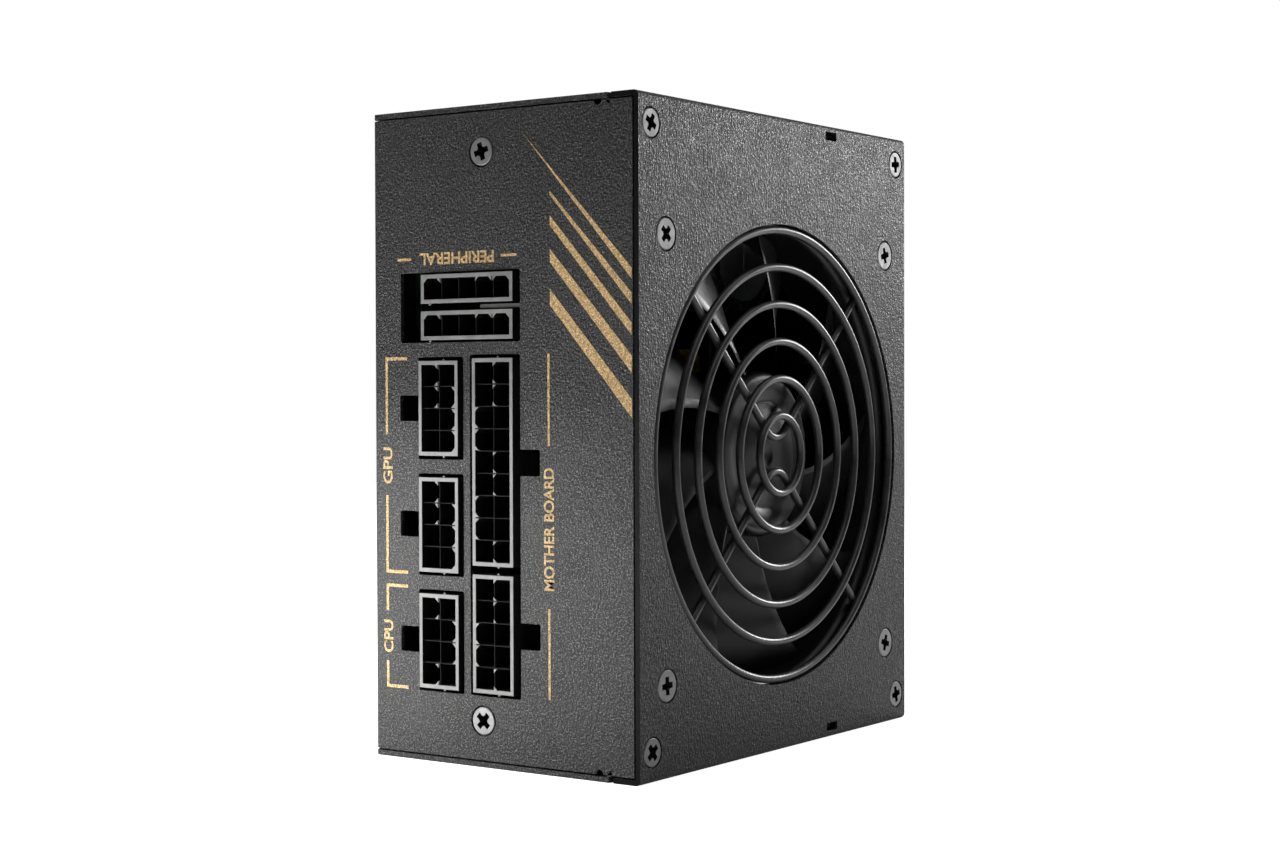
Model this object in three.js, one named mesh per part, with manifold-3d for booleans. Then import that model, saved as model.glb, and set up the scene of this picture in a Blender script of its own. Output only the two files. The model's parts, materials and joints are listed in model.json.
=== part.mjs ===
// A small-form-factor power supply unit for a desktop computer, standing on its short side.
// Millimetres, +Z up. The socket panel faces -Y, the fan +X and the mains inlet +Y.
import * as THREE from "three";
import { mergeVertices } from "three/addons/utils/BufferGeometryUtils.js";
import Module from "manifold-3d";

const wasm = await Module();
wasm.setup();

// Driving sizes of the case.
const caseWidth = 63.5;
const caseDepth = 100;
const caseHeight = 125;
const sheet = 1;
const gap = 0.3;
const overlap = 0.5;
const coverFlange = 6;
const coverSlot = { y: 18.6, width: 4.3, height: 1.7, fromEdge: 1.3 };
const tab = { width: 16, depth: 12 };
const hiddenFlange = 9;
const mountHole = { radius: 1.75, spacingX: 51.5, spacingZ: 113 };

// Driving sizes of the fan and its guard.
const fanSize = 92;
const fanDepth = 15;
const fanWall = 1.5;
const fanFlange = 3;
const fanHolePitch = 82.5;
const fanFromFoot = 58.4;
const fanBase = { radius: 17, thickness: 1.2 };
const hub = { radius: 16.5, wall: 1.3, cap: 1.5, set: 1.1, bearing: 6 };
const stator = { from: 3, to: 7.5, arm: 7, magnet: 1.8 };
const blade = { count: 9, thickness: 1.2, tipClearance: 0.9, phase: 26, sweep: 24, wrap: 32, camber: 0.25 };
const wire = 1.6;
const guardRing = { count: 6, inner: 7.7, outer: 44.3 };
const guardBend = { radius: 5, lowest: 3.4 };

// Driving sizes of the screws.
const plateScrew = { head: 2.65, shank: 1.5, length: 6 };
const fanScrew = { head: 2.95, shank: 2, length: 10 };
const headRim = 0.25;
const cornerInset = { y: 4, z: 5.6 };
const panelScrew = { x: -4.4, z: 8.8 };

// Driving sizes of the output sockets.
const cellPitch = 4.2;
const cellSide = 3.6;
const socketWall = 1;
const socketDepth = 14.4;
const cellDepth = 11;
const socketSet = -0.8;
const cutMargin = 0.65;
const wideMargin = 1.1;
const slimMargin = 0.4;
const columnGap = { x: 3.45, z: 4.1, slim: 3.9 };
const boardSocketGap = 1.6;
const slimGap = 1.4;
const latch = { width: 4.9, room: 4.6, ramp: 1, rampWidth: 3.4, rampAt: [6.6, 9.6] };
const socketEdge = { left: -19.5, slimLeft: -18.8, bottom: 14.15 };

// Driving sizes of the mains side.
const bezel = { thickness: 1.6, rim: 1.5 };
const inlet = { x: 0, z: 29, width: 19.8, height: 27, depth: 20, cavityDepth: 15, wall: 1.2, chamfer: 5 };
const pin = { width: 4, thickness: 2, spread: 7, offset: 2, length: 22.5, recess: 1.5 };
const rocker = { x: 0, z: 60, width: 14.8, height: 8.6, throwDegrees: 20, pivotDepth: 1.5, trunnion: 1 };
const switchBody = { width: 19.2, height: 12.6, depth: 14, pocket: 6 };
const vent = { flats: 6.2, pitch: 7.6, rows: 6, columns: 5, z: 89.5 };

// Driving sizes of the boards.
const board = 1.6;
const boardInset = 6;
const standoff = { length: 4.15, radius: 2.6, inset: 5 };
const insulation = { thickness: 0.3, fromBack: 2.15 };

// Places worked out from the sizes above.
const xOut = caseWidth / 2;
const yOut = caseDepth / 2;
const xCover = xOut - sheet;
const xBack = -xOut + sheet;
const xRing = xOut - wire / 2;
const xStrut = xRing - 0.8 * wire;
const fanFront = xStrut - wire / 2 - gap;
const fanBack = fanFront - fanDepth;
const bore = fanSize / 2 - fanWall;
const boardBack = xBack + standoff.length + 2 * gap;
const boardFront = boardBack + board;
const onBoard = boardFront + gap;
const socketFace = -yOut + socketSet;
const socketBack = socketFace + socketDepth;
const panelHeights = [sheet + gap, caseHeight - sheet - gap];

const look = (color, roughness, metalness) =>
  new THREE.MeshStandardMaterial({ color, roughness, metalness });
const looks = {
  casePaint: look(0x1d1d1f, 0.6, 0.2),
  darkPlastic: look(0x101113, 0.35, 0),
  guardWire: look(0x08090a, 0.3, 0.6),
  screwSteel: look(0xb9babb, 0.3, 1),
  steel: look(0x8d8f92, 0.4, 1),
  brass: look(0xb08d4a, 0.35, 1),
  circuitBoard: look(0x2f5a35, 0.55, 0),
  clearSheet: look(0xc9c6b8, 0.4, 0),
  aluminium: look(0xa5a8ab, 0.45, 1),
  copper: look(0xa4552c, 0.35, 0.9),
  ferrite: look(0x2b2c2e, 0.7, 0.1),
  sleeve: look(0x15171d, 0.3, 0),
  yellowTape: look(0xcfae3a, 0.6, 0),
};

const group = new THREE.Group();

// Turns a closed geometry into a solid, without the triangles that a lathe leaves on its axis.
function solid(geometry) {
  const bare = geometry.clone();
  bare.deleteAttribute("normal");
  bare.deleteAttribute("uv");
  const merged = mergeVertices(bare, 1e-4);
  const kept = [];
  for (let i = 0; i < merged.index.count; i += 3) {
    const corners = [0, 1, 2].map((k) => merged.index.getX(i + k));
    if (new Set(corners).size === 3) kept.push(...corners);
  }
  const vertProperties = new Float32Array(merged.attributes.position.array);
  return new wasm.Manifold(new wasm.Mesh({ numProp: 3, vertProperties, triVerts: new Uint32Array(kept) }));
}

const join = (...solids) => solids.reduce((all, next) => all.add(next));
const cut = (body, ...tools) => tools.reduce((left, tool) => left.subtract(tool), body);

function addPiece(name, body, material) {
  const { vertProperties, triVerts } = body.getMesh();
  const geometry = new THREE.BufferGeometry();
  geometry.setAttribute("position", new THREE.BufferAttribute(new Float32Array(vertProperties), 3));
  geometry.setIndex(new THREE.BufferAttribute(new Uint32Array(triVerts), 1));
  geometry.computeVertexNormals();
  const mesh = new THREE.Mesh(geometry, material);
  mesh.name = name;
  group.add(mesh);
}

const around = (middle, width) => [middle - width / 2, middle + width / 2];
const ordered = (a, b) => [Math.min(a, b), Math.max(a, b)];

// A box between two limits along each axis.
function block(x, y, z) {
  const size = [x, y, z].map(([a, b]) => Math.abs(b - a));
  const middle = [x, y, z].map(([a, b]) => (a + b) / 2);
  return solid(new THREE.BoxGeometry(...size).translate(...middle));
}

// A profile of [radius, height] points, going up on its outside, turned about X, Y or Z at a place.
function turned(profile, axis, place, segments) {
  const points = profile.map(([radius, height]) => new THREE.Vector2(radius, height));
  const geometry = new THREE.LatheGeometry(points, segments);
  if (axis === "x") geometry.rotateZ(-Math.PI / 2);
  if (axis === "z") geometry.rotateX(Math.PI / 2);
  return solid(geometry.translate(...place));
}

const rod = (radius, [from, to], axis, place, segments) =>
  turned([[0, from], [radius, from], [radius, to], [0, to]], axis, place, segments);

const ring = (inner, outer, [from, to], axis, place, segments) =>
  turned([[inner, from], [outer, from], [outer, to], [inner, to], [inner, from]], axis, place, segments);

// A torus about X.
function hoop(radius, thickness, place, around, across) {
  const geometry = new THREE.TorusGeometry(radius, thickness, across, around);
  return solid(geometry.rotateY(Math.PI / 2).translate(...place));
}

// A round bar between two points.
function bar(from, to, radius, sides) {
  const [a, b] = [new THREE.Vector3(...from), new THREE.Vector3(...to)];
  const along = b.clone().sub(a);
  const upright = new THREE.Vector3(0, 1, 0);
  const turn = new THREE.Quaternion().setFromUnitVectors(upright, along.clone().normalize());
  const geometry = new THREE.CylinderGeometry(radius, radius, along.length(), sides);
  return solid(geometry.applyQuaternion(turn).translate(...a.add(b).multiplyScalar(0.5).toArray()));
}

// An outline extruded along one axis, between two limits. Its points are [x, y] along Z,
// [y, z] along X and [z, x] along Y.
function extruded(outline, axis, [from, to]) {
  const shape = new THREE.Shape(outline.map(([u, v]) => new THREE.Vector2(u, v)));
  const geometry = new THREE.ExtrudeGeometry(shape, { depth: to - from, bevelEnabled: false });
  const [x, y, z] = [new THREE.Vector3(1, 0, 0), new THREE.Vector3(0, 1, 0), new THREE.Vector3(0, 0, 1)];
  const basis = { x: [y, z, x], y: [z, x, y], z: [x, y, z] }[axis];
  return solid(geometry.translate(0, 0, from).applyMatrix4(new THREE.Matrix4().makeBasis(...basis)));
}

// A countersunk screw, or with spare room the hole for it. Its head is at the place and faces
// the given side of the axis.
function screwShape({ head, shank, length }, axis, side, place, spare = 0) {
  const cone = headRim + head - shank;
  const [wide, thin] = [head + spare, shank + spare];
  const profile = [[0, -length - spare], [thin, -length - spare], [thin, -cone], [wide, -headRim],
    [wide, spare], [0, spare]];
  const facing = side > 0 ? profile : profile.map(([r, h]) => [r, -h]).reverse();
  return turned(facing, axis, place, 12);
}

// Where the screws sit: the corners of the fan cover, the fan's corners, and the two panels.
const pairs = (a, b) => a.flatMap((u) => b.map((v) => [u, v]));
const coverScrewPlaces = pairs([-yOut + cornerInset.y, yOut - cornerInset.y],
  [cornerInset.z, caseHeight - cornerInset.z]).map(([y, z]) => [xOut, y, z]);
const fanScrewPlaces = pairs(around(0, fanHolePitch), around(fanFromFoot, fanHolePitch))
  .map(([y, z]) => [xOut, y, z]);
const panelScrewPlaces = (y) => [panelScrew.z, caseHeight - panelScrew.z].map((z) => [panelScrew.x, y, z]);

// The output sockets. A socket's latch side is -1 or +1 along X, or 0 for a lying socket.
const cellRun = (cells) => (cells - 1) * cellPitch + cellSide + 2 * socketWall;
const socketAt = (name, x, z, columns, rows, side) =>
  ({ name, x, z, columns, rows, side, width: cellRun(columns), height: cellRun(rows) });
const columnX = socketEdge.left + cellRun(2) / 2;
const columnZ = (k) => socketEdge.bottom + cellRun(4) / 2 + k * (cellRun(4) + columnGap.z);
const boardX = columnX + cellRun(2) + columnGap.x;
const shortZ = socketEdge.bottom + cellRun(5) / 2;
const longZ = shortZ + (cellRun(5) + cellRun(9)) / 2 + boardSocketGap;
const slimX = socketEdge.slimLeft + cellRun(5) / 2;
const slimZ = columnZ(2) + (cellRun(4) + cellRun(1)) / 2 + columnGap.slim;
const sockets = [
  socketAt("cpu_socket", columnX, columnZ(0), 2, 4, -1),
  socketAt("gpu_socket_lower", columnX, columnZ(1), 2, 4, -1),
  socketAt("gpu_socket_upper", columnX, columnZ(2), 2, 4, -1),
  socketAt("board_socket_short", boardX, shortZ, 2, 5, 1),
  socketAt("board_socket_long", boardX, longZ, 2, 9, 1),
  socketAt("peripheral_socket_lower", slimX, slimZ, 5, 1, 0),
  socketAt("peripheral_socket_upper", slimX, slimZ + cellRun(1) + slimGap, 5, 1, 0),
];

// The cut-outs of the socket panel: one for each socket of the latch column, one for both
// board sockets, one for both peripheral sockets, and a notch for each plug's latch.
function panelCuts() {
  const through = [-yOut - overlap, -yOut + sheet + overlap];
  const window = (some, left, right, margin) => {
    const low = Math.min(...some.map((s) => s.z - s.height / 2)) - margin;
    const high = Math.max(...some.map((s) => s.z + s.height / 2)) + margin;
    const [middle, half] = [some[0].x, some[0].width / 2];
    return block([middle - half - left, middle + half + right], through, [low, high]);
  };
  const latchNotch = ({ x, z, side, width }, margin) => {
    const edge = x + side * (width / 2 + margin);
    const reach = ordered(edge - side, edge + side * latch.room);
    return block(reach, through, around(z, latch.width));
  };
  const column = sockets.filter((s) => s.side < 0);
  const boardSockets = sockets.filter((s) => s.side > 0);
  const slim = sockets.filter((s) => s.side === 0);
  return [
    ...column.map((s) => window([s], cutMargin, cutMargin, cutMargin)),
    ...column.map((s) => latchNotch(s, cutMargin)),
    window(boardSockets, wideMargin, wideMargin, cutMargin),
    ...boardSockets.map((s) => latchNotch(s, wideMargin)),
    window(slim, latch.room + wideMargin, wideMargin, slimMargin),
  ];
}

// The bent sheet that makes the socket panel and the back of the case.
function caseShell() {
  const panel = block([-xOut, xCover - gap], [-yOut, -yOut + sheet], panelHeights);
  const back = block([-xOut, xBack], [-yOut, yOut - sheet - gap], panelHeights);
  const holes = panelScrewPlaces(-yOut).map((place) => screwShape(plateScrew, "y", -1, place, gap));
  return cut(join(panel, back), ...panelCuts(), ...holes);
}

// The hexagons of the inlet panel's vent.
function ventHoles(through) {
  const corner = vent.flats / Math.sqrt(3);
  const rowStep = (vent.pitch * Math.sqrt(3)) / 2;
  const places = pairs([...Array(vent.rows).keys()], [...Array(vent.columns).keys()]);
  return places.map(([row, column]) => {
    const x = (row - (vent.rows - 1) / 2) * rowStep;
    const z = vent.z + (column - (vent.columns - 1) / 2 + (row % 2) / 2 - 0.25) * vent.pitch;
    const outline = [...Array(6).keys()].map((k) => {
      const angle = ((k + 0.5) * Math.PI) / 3 + Math.PI / 6;
      return [z + corner * Math.sin(angle), x + corner * Math.cos(angle)];
    });
    return extruded(outline.reverse(), "y", through);
  });
}

// The plate at the mains end, with openings for the inlet, the switch, the air and the screws.
function inletPanel() {
  const through = [yOut - sheet - overlap, yOut + overlap];
  const plate = block([-xOut, xCover - gap], [yOut - sheet, yOut], panelHeights);
  const window = (x, z, width, height) =>
    block(around(x, width + 2 * gap), through, around(z, height + 2 * gap));
  const mountHoles = pairs(around(0, mountHole.spacingX), around(caseHeight / 2, mountHole.spacingZ))
    .map(([x, z]) => rod(mountHole.radius, through, "y", [x, 0, z], 12));
  const screwHoles = panelScrewPlaces(yOut).map((place) => screwShape(plateScrew, "y", 1, place, gap));
  return cut(plate, window(inlet.x, inlet.z, inlet.width, inlet.height),
    window(rocker.x, rocker.z, switchBody.width, switchBody.height),
    ...ventHoles(through), ...mountHoles, ...screwHoles);
}

// An end plate: side +1 is the upper one. Its long edge steps in under the fan cover and turns
// down there for the corner screws, and two tabs hold the panels.
function endPlate(side) {
  const level = (depth) => (side > 0 ? caseHeight - depth : depth);
  const levels = (a, b) => ordered(level(a), level(b));
  const inside = [-yOut + sheet + gap, yOut - sheet - gap];
  const edge = xOut - coverFlange - gap;
  const under = sheet + gap;
  const flangeX = [xCover - gap - sheet, xCover - gap];
  const tabs = [-1, 1].map((end) => {
    const face = end * (yOut - sheet - gap);
    const y = ordered(face, face - end * sheet);
    return block(around(panelScrew.x, tab.width), y, levels(sheet / 2, sheet + tab.depth));
  });
  const body = join(
    block([-xOut, edge], [-yOut, yOut], levels(0, sheet)),
    block([edge - 2 * sheet, edge], inside, levels(sheet / 2, under + sheet)),
    block([edge - sheet, flangeX[1]], inside, levels(under, under + sheet)),
    block(flangeX, inside, levels(under, under + hiddenFlange)),
    ...tabs,
  );
  const holes = [
    ...coverScrewPlaces.map((place) => screwShape(plateScrew, "x", 1, place, gap)),
    ...panelScrewPlaces(-yOut).map((place) => screwShape(plateScrew, "y", -1, place, gap)),
    ...panelScrewPlaces(yOut).map((place) => screwShape(plateScrew, "y", 1, place, gap)),
  ];
  return cut(body, ...holes);
}

// The cover over the fan, with a flange folded over each end.
function fanCover() {
  const through = [xCover - overlap, xOut + overlap];
  const body = join(
    block([xCover, xOut], [-yOut, yOut], [0, caseHeight]),
    block([xOut - coverFlange, xOut], [-yOut, yOut], [0, sheet]),
    block([xOut - coverFlange, xOut], [-yOut, yOut], [caseHeight - sheet, caseHeight]),
  );
  const slots = [coverSlot.fromEdge, caseHeight - coverSlot.fromEdge - coverSlot.height]
    .map((z) => block(through, around(coverSlot.y, coverSlot.width), [z, z + coverSlot.height]));
  return cut(body,
    rod(guardRing.outer + wire / 2 + gap, through, "x", [0, 0, fanFromFoot], 48),
    ...slots,
    ...coverScrewPlaces.map((place) => screwShape(plateScrew, "x", 1, place, gap)),
    ...fanScrewPlaces.map((place) => screwShape(fanScrew, "x", 1, place, gap)),
  );
}

// The finger guard: round wires on two bent wires that end in an eyelet at each fan screw.
function wireGuard() {
  const step = (guardRing.outer - guardRing.inner) / (guardRing.count - 1);
  const rings = [...Array(guardRing.count).keys()].map((k) =>
    hoop(guardRing.inner + k * step, wire / 2, [xRing, 0, fanFromFoot], 12 + 5 * k, 6));
  const eyelet = fanScrew.shank + gap + wire / 2;
  const corner = fanHolePitch / 2 - eyelet * Math.SQRT1_2;
  const middle = guardBend.lowest + guardBend.radius;
  const touch = guardBend.radius * Math.SQRT1_2;
  const struts = [-1, 1].flatMap((side) => {
    const at = (y, z) => [xStrut, y, fanFromFoot + side * z];
    const arc = [...Array(7).keys()].map((k) => {
      const angle = -Math.PI * (3 / 4 - k / 12);
      const [y, z] = [guardBend.radius * Math.cos(angle), guardBend.radius * Math.sin(angle)];
      return new THREE.Vector3(...at(y, middle + z));
    });
    const shape = new THREE.Shape().absarc(0, 0, wire / 2, 0, 2 * Math.PI);
    const bend = new THREE.ExtrudeGeometry(shape,
      { steps: 6, curveSegments: 3, extrudePath: new THREE.CatmullRomCurve3(arc) });
    const legs = [-1, 1].map((end) =>
      bar(at(end * (touch - 0.1), middle - touch - 0.1), at(end * corner, corner), wire / 2, 6));
    return [solid(bend), ...legs];
  });
  const eyelets = fanScrewPlaces.map(([, y, z]) => hoop(eyelet, wire / 2, [xStrut, y, z], 12, 6));
  return join(...rings, ...struts, ...eyelets);
}

// The square frame of the fan: two flanges, the duct, and the motor base on four arms.
function fanFrame() {
  const centre = [0, 0, fanFromFoot];
  const square = (x) => block(x, around(0, fanSize), around(fanFromFoot, fanSize));
  const duct = rod(bore + 1, [fanBack, fanFront], "x", centre, 48);
  const air = rod(bore, [fanBack - overlap, fanFront + overlap], "x", centre, 48);
  const base = [fanBack, fanBack + fanBase.thickness];
  const arms = block(base, around(0, 2 * bore + 1), around(fanFromFoot, 5))
    .add(block(base, around(0, 5), around(fanFromFoot, 2 * bore + 1)));
  const flanges = join(square([fanBack, fanBack + fanFlange]), square([fanFront - fanFlange, fanFront]));
  const shell = cut(join(flanges, duct), air);
  const sleeve = ring(hub.radius / 5, hub.radius / 4, [fanBack, fanBack + fanDepth / 2], "x", centre, 16);
  const bearingHole = rod(hub.radius / 5, [fanBack + fanBase.thickness, fanFront], "x", centre, 16);
  const body = join(shell, arms, rod(fanBase.radius, base, "x", centre, 32), sleeve);
  return cut(body, bearingHole, ...fanScrewPlaces.map((place) => screwShape(fanScrew, "x", 1, place, gap)));
}

// One fan blade, as a box bent into its curved and swept form. Angles run from +Y towards +Z.
function fanBlade(index, front, back, inner, outer) {
  const geometry = new THREE.BoxGeometry(1, 1, 1, 5, 4, 1);
  const points = geometry.attributes.position;
  const radians = Math.PI / 180;
  for (let i = 0; i < points.count; i++) {
    const [along, out, side] = [points.getX(i) + 0.5, points.getY(i) + 0.5, points.getZ(i)];
    const radius = inner + out * (outer - inner);
    const start = blade.phase + (index * 360) / blade.count + blade.sweep * out;
    const angle = (start - blade.wrap * along) * radians;
    const x = front - (front - back) * (along - blade.camber * along * (1 - along));
    const slope = new THREE.Vector2(front - back, radius * blade.wrap * radians).normalize();
    const offset = side * blade.thickness;
    const turn = angle - (offset * slope.x) / radius;
    points.setXYZ(i, x + offset * slope.y, radius * Math.cos(turn), fanFromFoot + radius * Math.sin(turn));
  }
  return solid(geometry);
}

// The hub cup with its blades; the shaft's boss is inside.
function fanRotor() {
  const front = fanFront - hub.set;
  const back = fanBack + fanBase.thickness + 2 * gap;
  const inner = hub.radius - hub.wall;
  const [bossHole, boss] = [shaftRadius + gap, shaftRadius + 2 * gap + 1];
  const cup = turned([[0, front - hub.cap], [bossHole, front - hub.cap], [bossHole, front - hub.cap - 2],
    [boss, front - hub.cap - 2], [boss, front - hub.cap], [inner, front - hub.cap], [inner, back],
    [hub.radius, back], [hub.radius, front - 0.8], [hub.radius - 0.8, front], [0, front]],
  "x", [0, 0, fanFromFoot], 32);
  const blades = [...Array(blade.count).keys()].map((k) =>
    fanBlade(k, front - 1, back + 1.5, hub.radius - 0.3, bore - blade.tipClearance));
  return join(cup, ...blades);
}

// The fan's motor: magnet and shaft on the rotor, and bearing, stator and circuit on the frame.
const shaftRadius = 1.5;
function addFanMotor() {
  const centre = [0, 0, fanFromFoot];
  const floor = fanBack + fanBase.thickness;
  const ceiling = fanFront - hub.set - hub.cap;
  const magnet = hub.radius - hub.wall - gap;
  const magnetHeight = [floor + stator.from, ceiling - gap];
  const magnetRing = ring(magnet - stator.magnet, magnet, magnetHeight, "x", centre, 24);
  addPiece("rotor_magnet", magnetRing, looks.ferrite);
  addPiece("rotor_shaft", rod(shaftRadius, [floor + gap, ceiling - gap], "x", centre, 12), looks.steel);
  const bearingHeight = [floor + gap, floor + hub.bearing];
  const bearing = ring(shaftRadius + gap, hub.radius / 5 - gap, bearingHeight, "x", centre, 12);
  addPiece("fan_bearing", bearing, looks.brass);
  const core = magnet - stator.magnet - 2 * gap;
  const middle = hub.radius / 4 + gap;
  const height = [floor + stator.from, floor + stator.to];
  const poles = join(
    block(height, around(0, stator.arm), around(fanFromFoot, 2 * core)),
    block(height, around(0, 2 * core), around(fanFromFoot, stator.arm)),
  ).intersect(rod(core, [floor, ceiling], "x", centre, 24));
  addPiece("fan_stator", cut(poles, rod(middle, [floor, ceiling], "x", centre, 16)), looks.copper);
  const circuit = ring(middle, magnet - 1, [floor + 0.8, floor + 1.8], "x", centre, 24);
  addPiece("fan_circuit", circuit, looks.circuitBoard);
}

// A socket housing: square cells open to the front, and a ramp for the plug's latch.
function socketHousing({ x, z, columns, rows, side, width, height }) {
  const cellPlaces = pairs([...Array(columns).keys()], [...Array(rows).keys()]);
  const cells = cellPlaces.map(([column, row]) => block(
    around(x + (column - (columns - 1) / 2) * cellPitch, cellSide),
    [socketFace - overlap, socketFace + cellDepth],
    around(z + (row - (rows - 1) / 2) * cellPitch, cellSide),
  ));
  const latchSide = side || -1;
  const edge = x + (latchSide * width) / 2;
  const rampX = ordered(edge - latchSide * overlap, edge + latchSide * latch.ramp);
  const ramp = block(rampX, latch.rampAt.map((y) => socketFace + y), around(z, latch.rampWidth));
  return cut(join(block(around(x, width), [socketFace, socketBack], around(z, height)), ramp), ...cells);
}

// The mains inlet. Its cavity has two slanted corners beside the earth pin.
const pinPlaces = [
  { name: "inlet_pin_line", x: inlet.x - pin.offset, z: inlet.z - pin.spread },
  { name: "inlet_pin_neutral", x: inlet.x - pin.offset, z: inlet.z + pin.spread },
  { name: "inlet_pin_earth", x: inlet.x + pin.offset, z: inlet.z },
];
const pinBlock = ({ x, z }, spare, y) =>
  block(around(x, pin.width + 2 * spare), y, around(z, pin.thickness + 2 * spare));

function inletBody() {
  const front = yOut + bezel.thickness;
  const [w, h] = [inlet.width / 2 - inlet.wall, inlet.height / 2 - inlet.wall];
  const slant = inlet.chamfer;
  const corners = [[-h, -w], [h, -w], [h, w - slant], [h - slant, w], [slant - h, w], [-h, w - slant]];
  const outline = corners.map(([z, x]) => [z + inlet.z, x + inlet.x]);
  const rim = 2 * bezel.rim;
  const body = join(
    block(around(inlet.x, inlet.width), [yOut - inlet.depth, yOut + overlap], around(inlet.z, inlet.height)),
    block(around(inlet.x, inlet.width + rim), [yOut, front], around(inlet.z, inlet.height + rim)),
  );
  const floor = [yOut - inlet.depth - overlap, yOut - inlet.cavityDepth + overlap];
  return cut(lifted(body), extruded(outline, "y", [yOut - inlet.cavityDepth, front + overlap]),
    ...pinPlaces.map((place) => pinBlock(place, gap, floor)));
}

// Leaves the gap between a bezel's back and the panel that it lies on.
function lifted(body) {
  const seat = [yOut - overlap, yOut + gap];
  const wide = block([-xOut, xOut], seat, [0, caseHeight]);
  const kept = join(
    block(around(inlet.x, inlet.width), seat, around(inlet.z, inlet.height)),
    block(around(rocker.x, switchBody.width), seat, around(rocker.z, switchBody.height)),
  );
  return cut(body, wide.subtract(kept));
}

// The switch: a frame with a pocket, and a rocker that tips on two trunnions along Z.
const pivotY = yOut - rocker.pivotDepth;
function switchFrame() {
  const rim = 2 * bezel.rim;
  const body = join(
    block(around(rocker.x, switchBody.width), [yOut - switchBody.depth, yOut + overlap],
      around(rocker.z, switchBody.height)),
    block(around(rocker.x, switchBody.width + rim), [yOut, yOut + bezel.thickness],
      around(rocker.z, switchBody.height + rim)),
  );
  const pocketDepth = [yOut - switchBody.pocket, yOut + bezel.thickness + overlap];
  const pocket = block(around(rocker.x, rocker.width + 2), pocketDepth,
    around(rocker.z, rocker.height + 2 * gap));
  const trunnionHole = rod(rocker.trunnion + gap, around(rocker.z, rocker.height + 3.2), "z",
    [rocker.x, pivotY, 0], 12);
  return cut(lifted(body), pocket, trunnionHole);
}

function switchRocker() {
  const half = rocker.width / 2;
  const outline = [[-half, 3.6], [-half, 0.6], [-1.5, -3], [1.5, -3], [half, 0.6], [half, 3.6], [0, 2.2]];
  const shape = new THREE.Shape(outline.map(([u, v]) => new THREE.Vector2(u, v)));
  const body = new THREE.ExtrudeGeometry(shape, { depth: rocker.height, bevelEnabled: false });
  body.translate(0, 0, -rocker.height / 2);
  const trunnions = new THREE.CylinderGeometry(rocker.trunnion, rocker.trunnion, rocker.height + 2.4, 12);
  trunnions.rotateX(Math.PI / 2);
  const [a, b] = [body, trunnions].map((geometry) => solid(geometry
    .rotateZ((-rocker.throwDegrees / 2) * (Math.PI / 180))
    .translate(rocker.x, pivotY, rocker.z)));
  return join(a, b);
}

// The boards behind the sockets and on the case's back, and what holds them off the metal.
const standoffPlaces = pairs(around(0, caseDepth - 2 * (boardInset + standoff.inset)),
  around(caseHeight / 2, caseHeight - 2 * (boardInset + standoff.inset)));

function addBoards() {
  const boardY = around(0, caseDepth - 2 * boardInset);
  const boardZ = [boardInset, caseHeight - boardInset];
  addPiece("main_board", block([boardBack, boardFront], boardY, boardZ), looks.circuitBoard);
  const film = xBack + insulation.fromBack;
  const holes = standoffPlaces.map(([y, z]) =>
    rod(standoff.radius + 2 * gap, [film - 1, film + 1], "x", [0, y, z], 12));
  addPiece("insulating_sheet",
    cut(block([film, film + insulation.thickness], boardY, boardZ), ...holes), looks.clearSheet);
  standoffPlaces.forEach(([y, z], k) => addPiece(`board_standoff_${k + 1}`,
    rod(standoff.radius, [xBack + gap, boardBack - gap], "x", [0, y, z], 6), looks.brass));
  const last = sockets[sockets.length - 1];
  const socketBoardX = [onBoard, boardX + cellRun(2) / 2 + 4];
  const socketBoardZ = [sockets[0].z - sockets[0].height / 2 - 3, last.z + last.height / 2 + 3];
  addPiece("socket_board",
    block(socketBoardX, [socketBack + gap, socketBack + gap + board], socketBoardZ), looks.circuitBoard);
}

// A heatsink standing on the board: a plate with fins on one side along Y.
function heatsink(plateY, finY, z, height) {
  const fins = 6;
  const step = (z[1] - z[0] - 2) / (fins - 1);
  const blades = [...Array(fins).keys()].map((k) =>
    block([onBoard, height], finY, [z[0] + k * step, z[0] + k * step + 2]));
  return join(block([onBoard, height], plateY, z), ...blades);
}

// A ferrite core around a taped winding.
function transformer(y, z, height) {
  const [coreY, coreZ] = [y, [z[0] + 0.25 * (z[1] - z[0]), z[1] - 0.25 * (z[1] - z[0])]];
  const inset = 0.12 * (y[1] - y[0]);
  return join(
    block([onBoard + 4, height], coreY, coreZ),
    block([onBoard + 6, height - 2], [y[0] + inset, y[1] - inset], z),
    block([onBoard, onBoard + 7], [y[0] + inset, y[1] - inset], z),
  );
}

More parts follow.
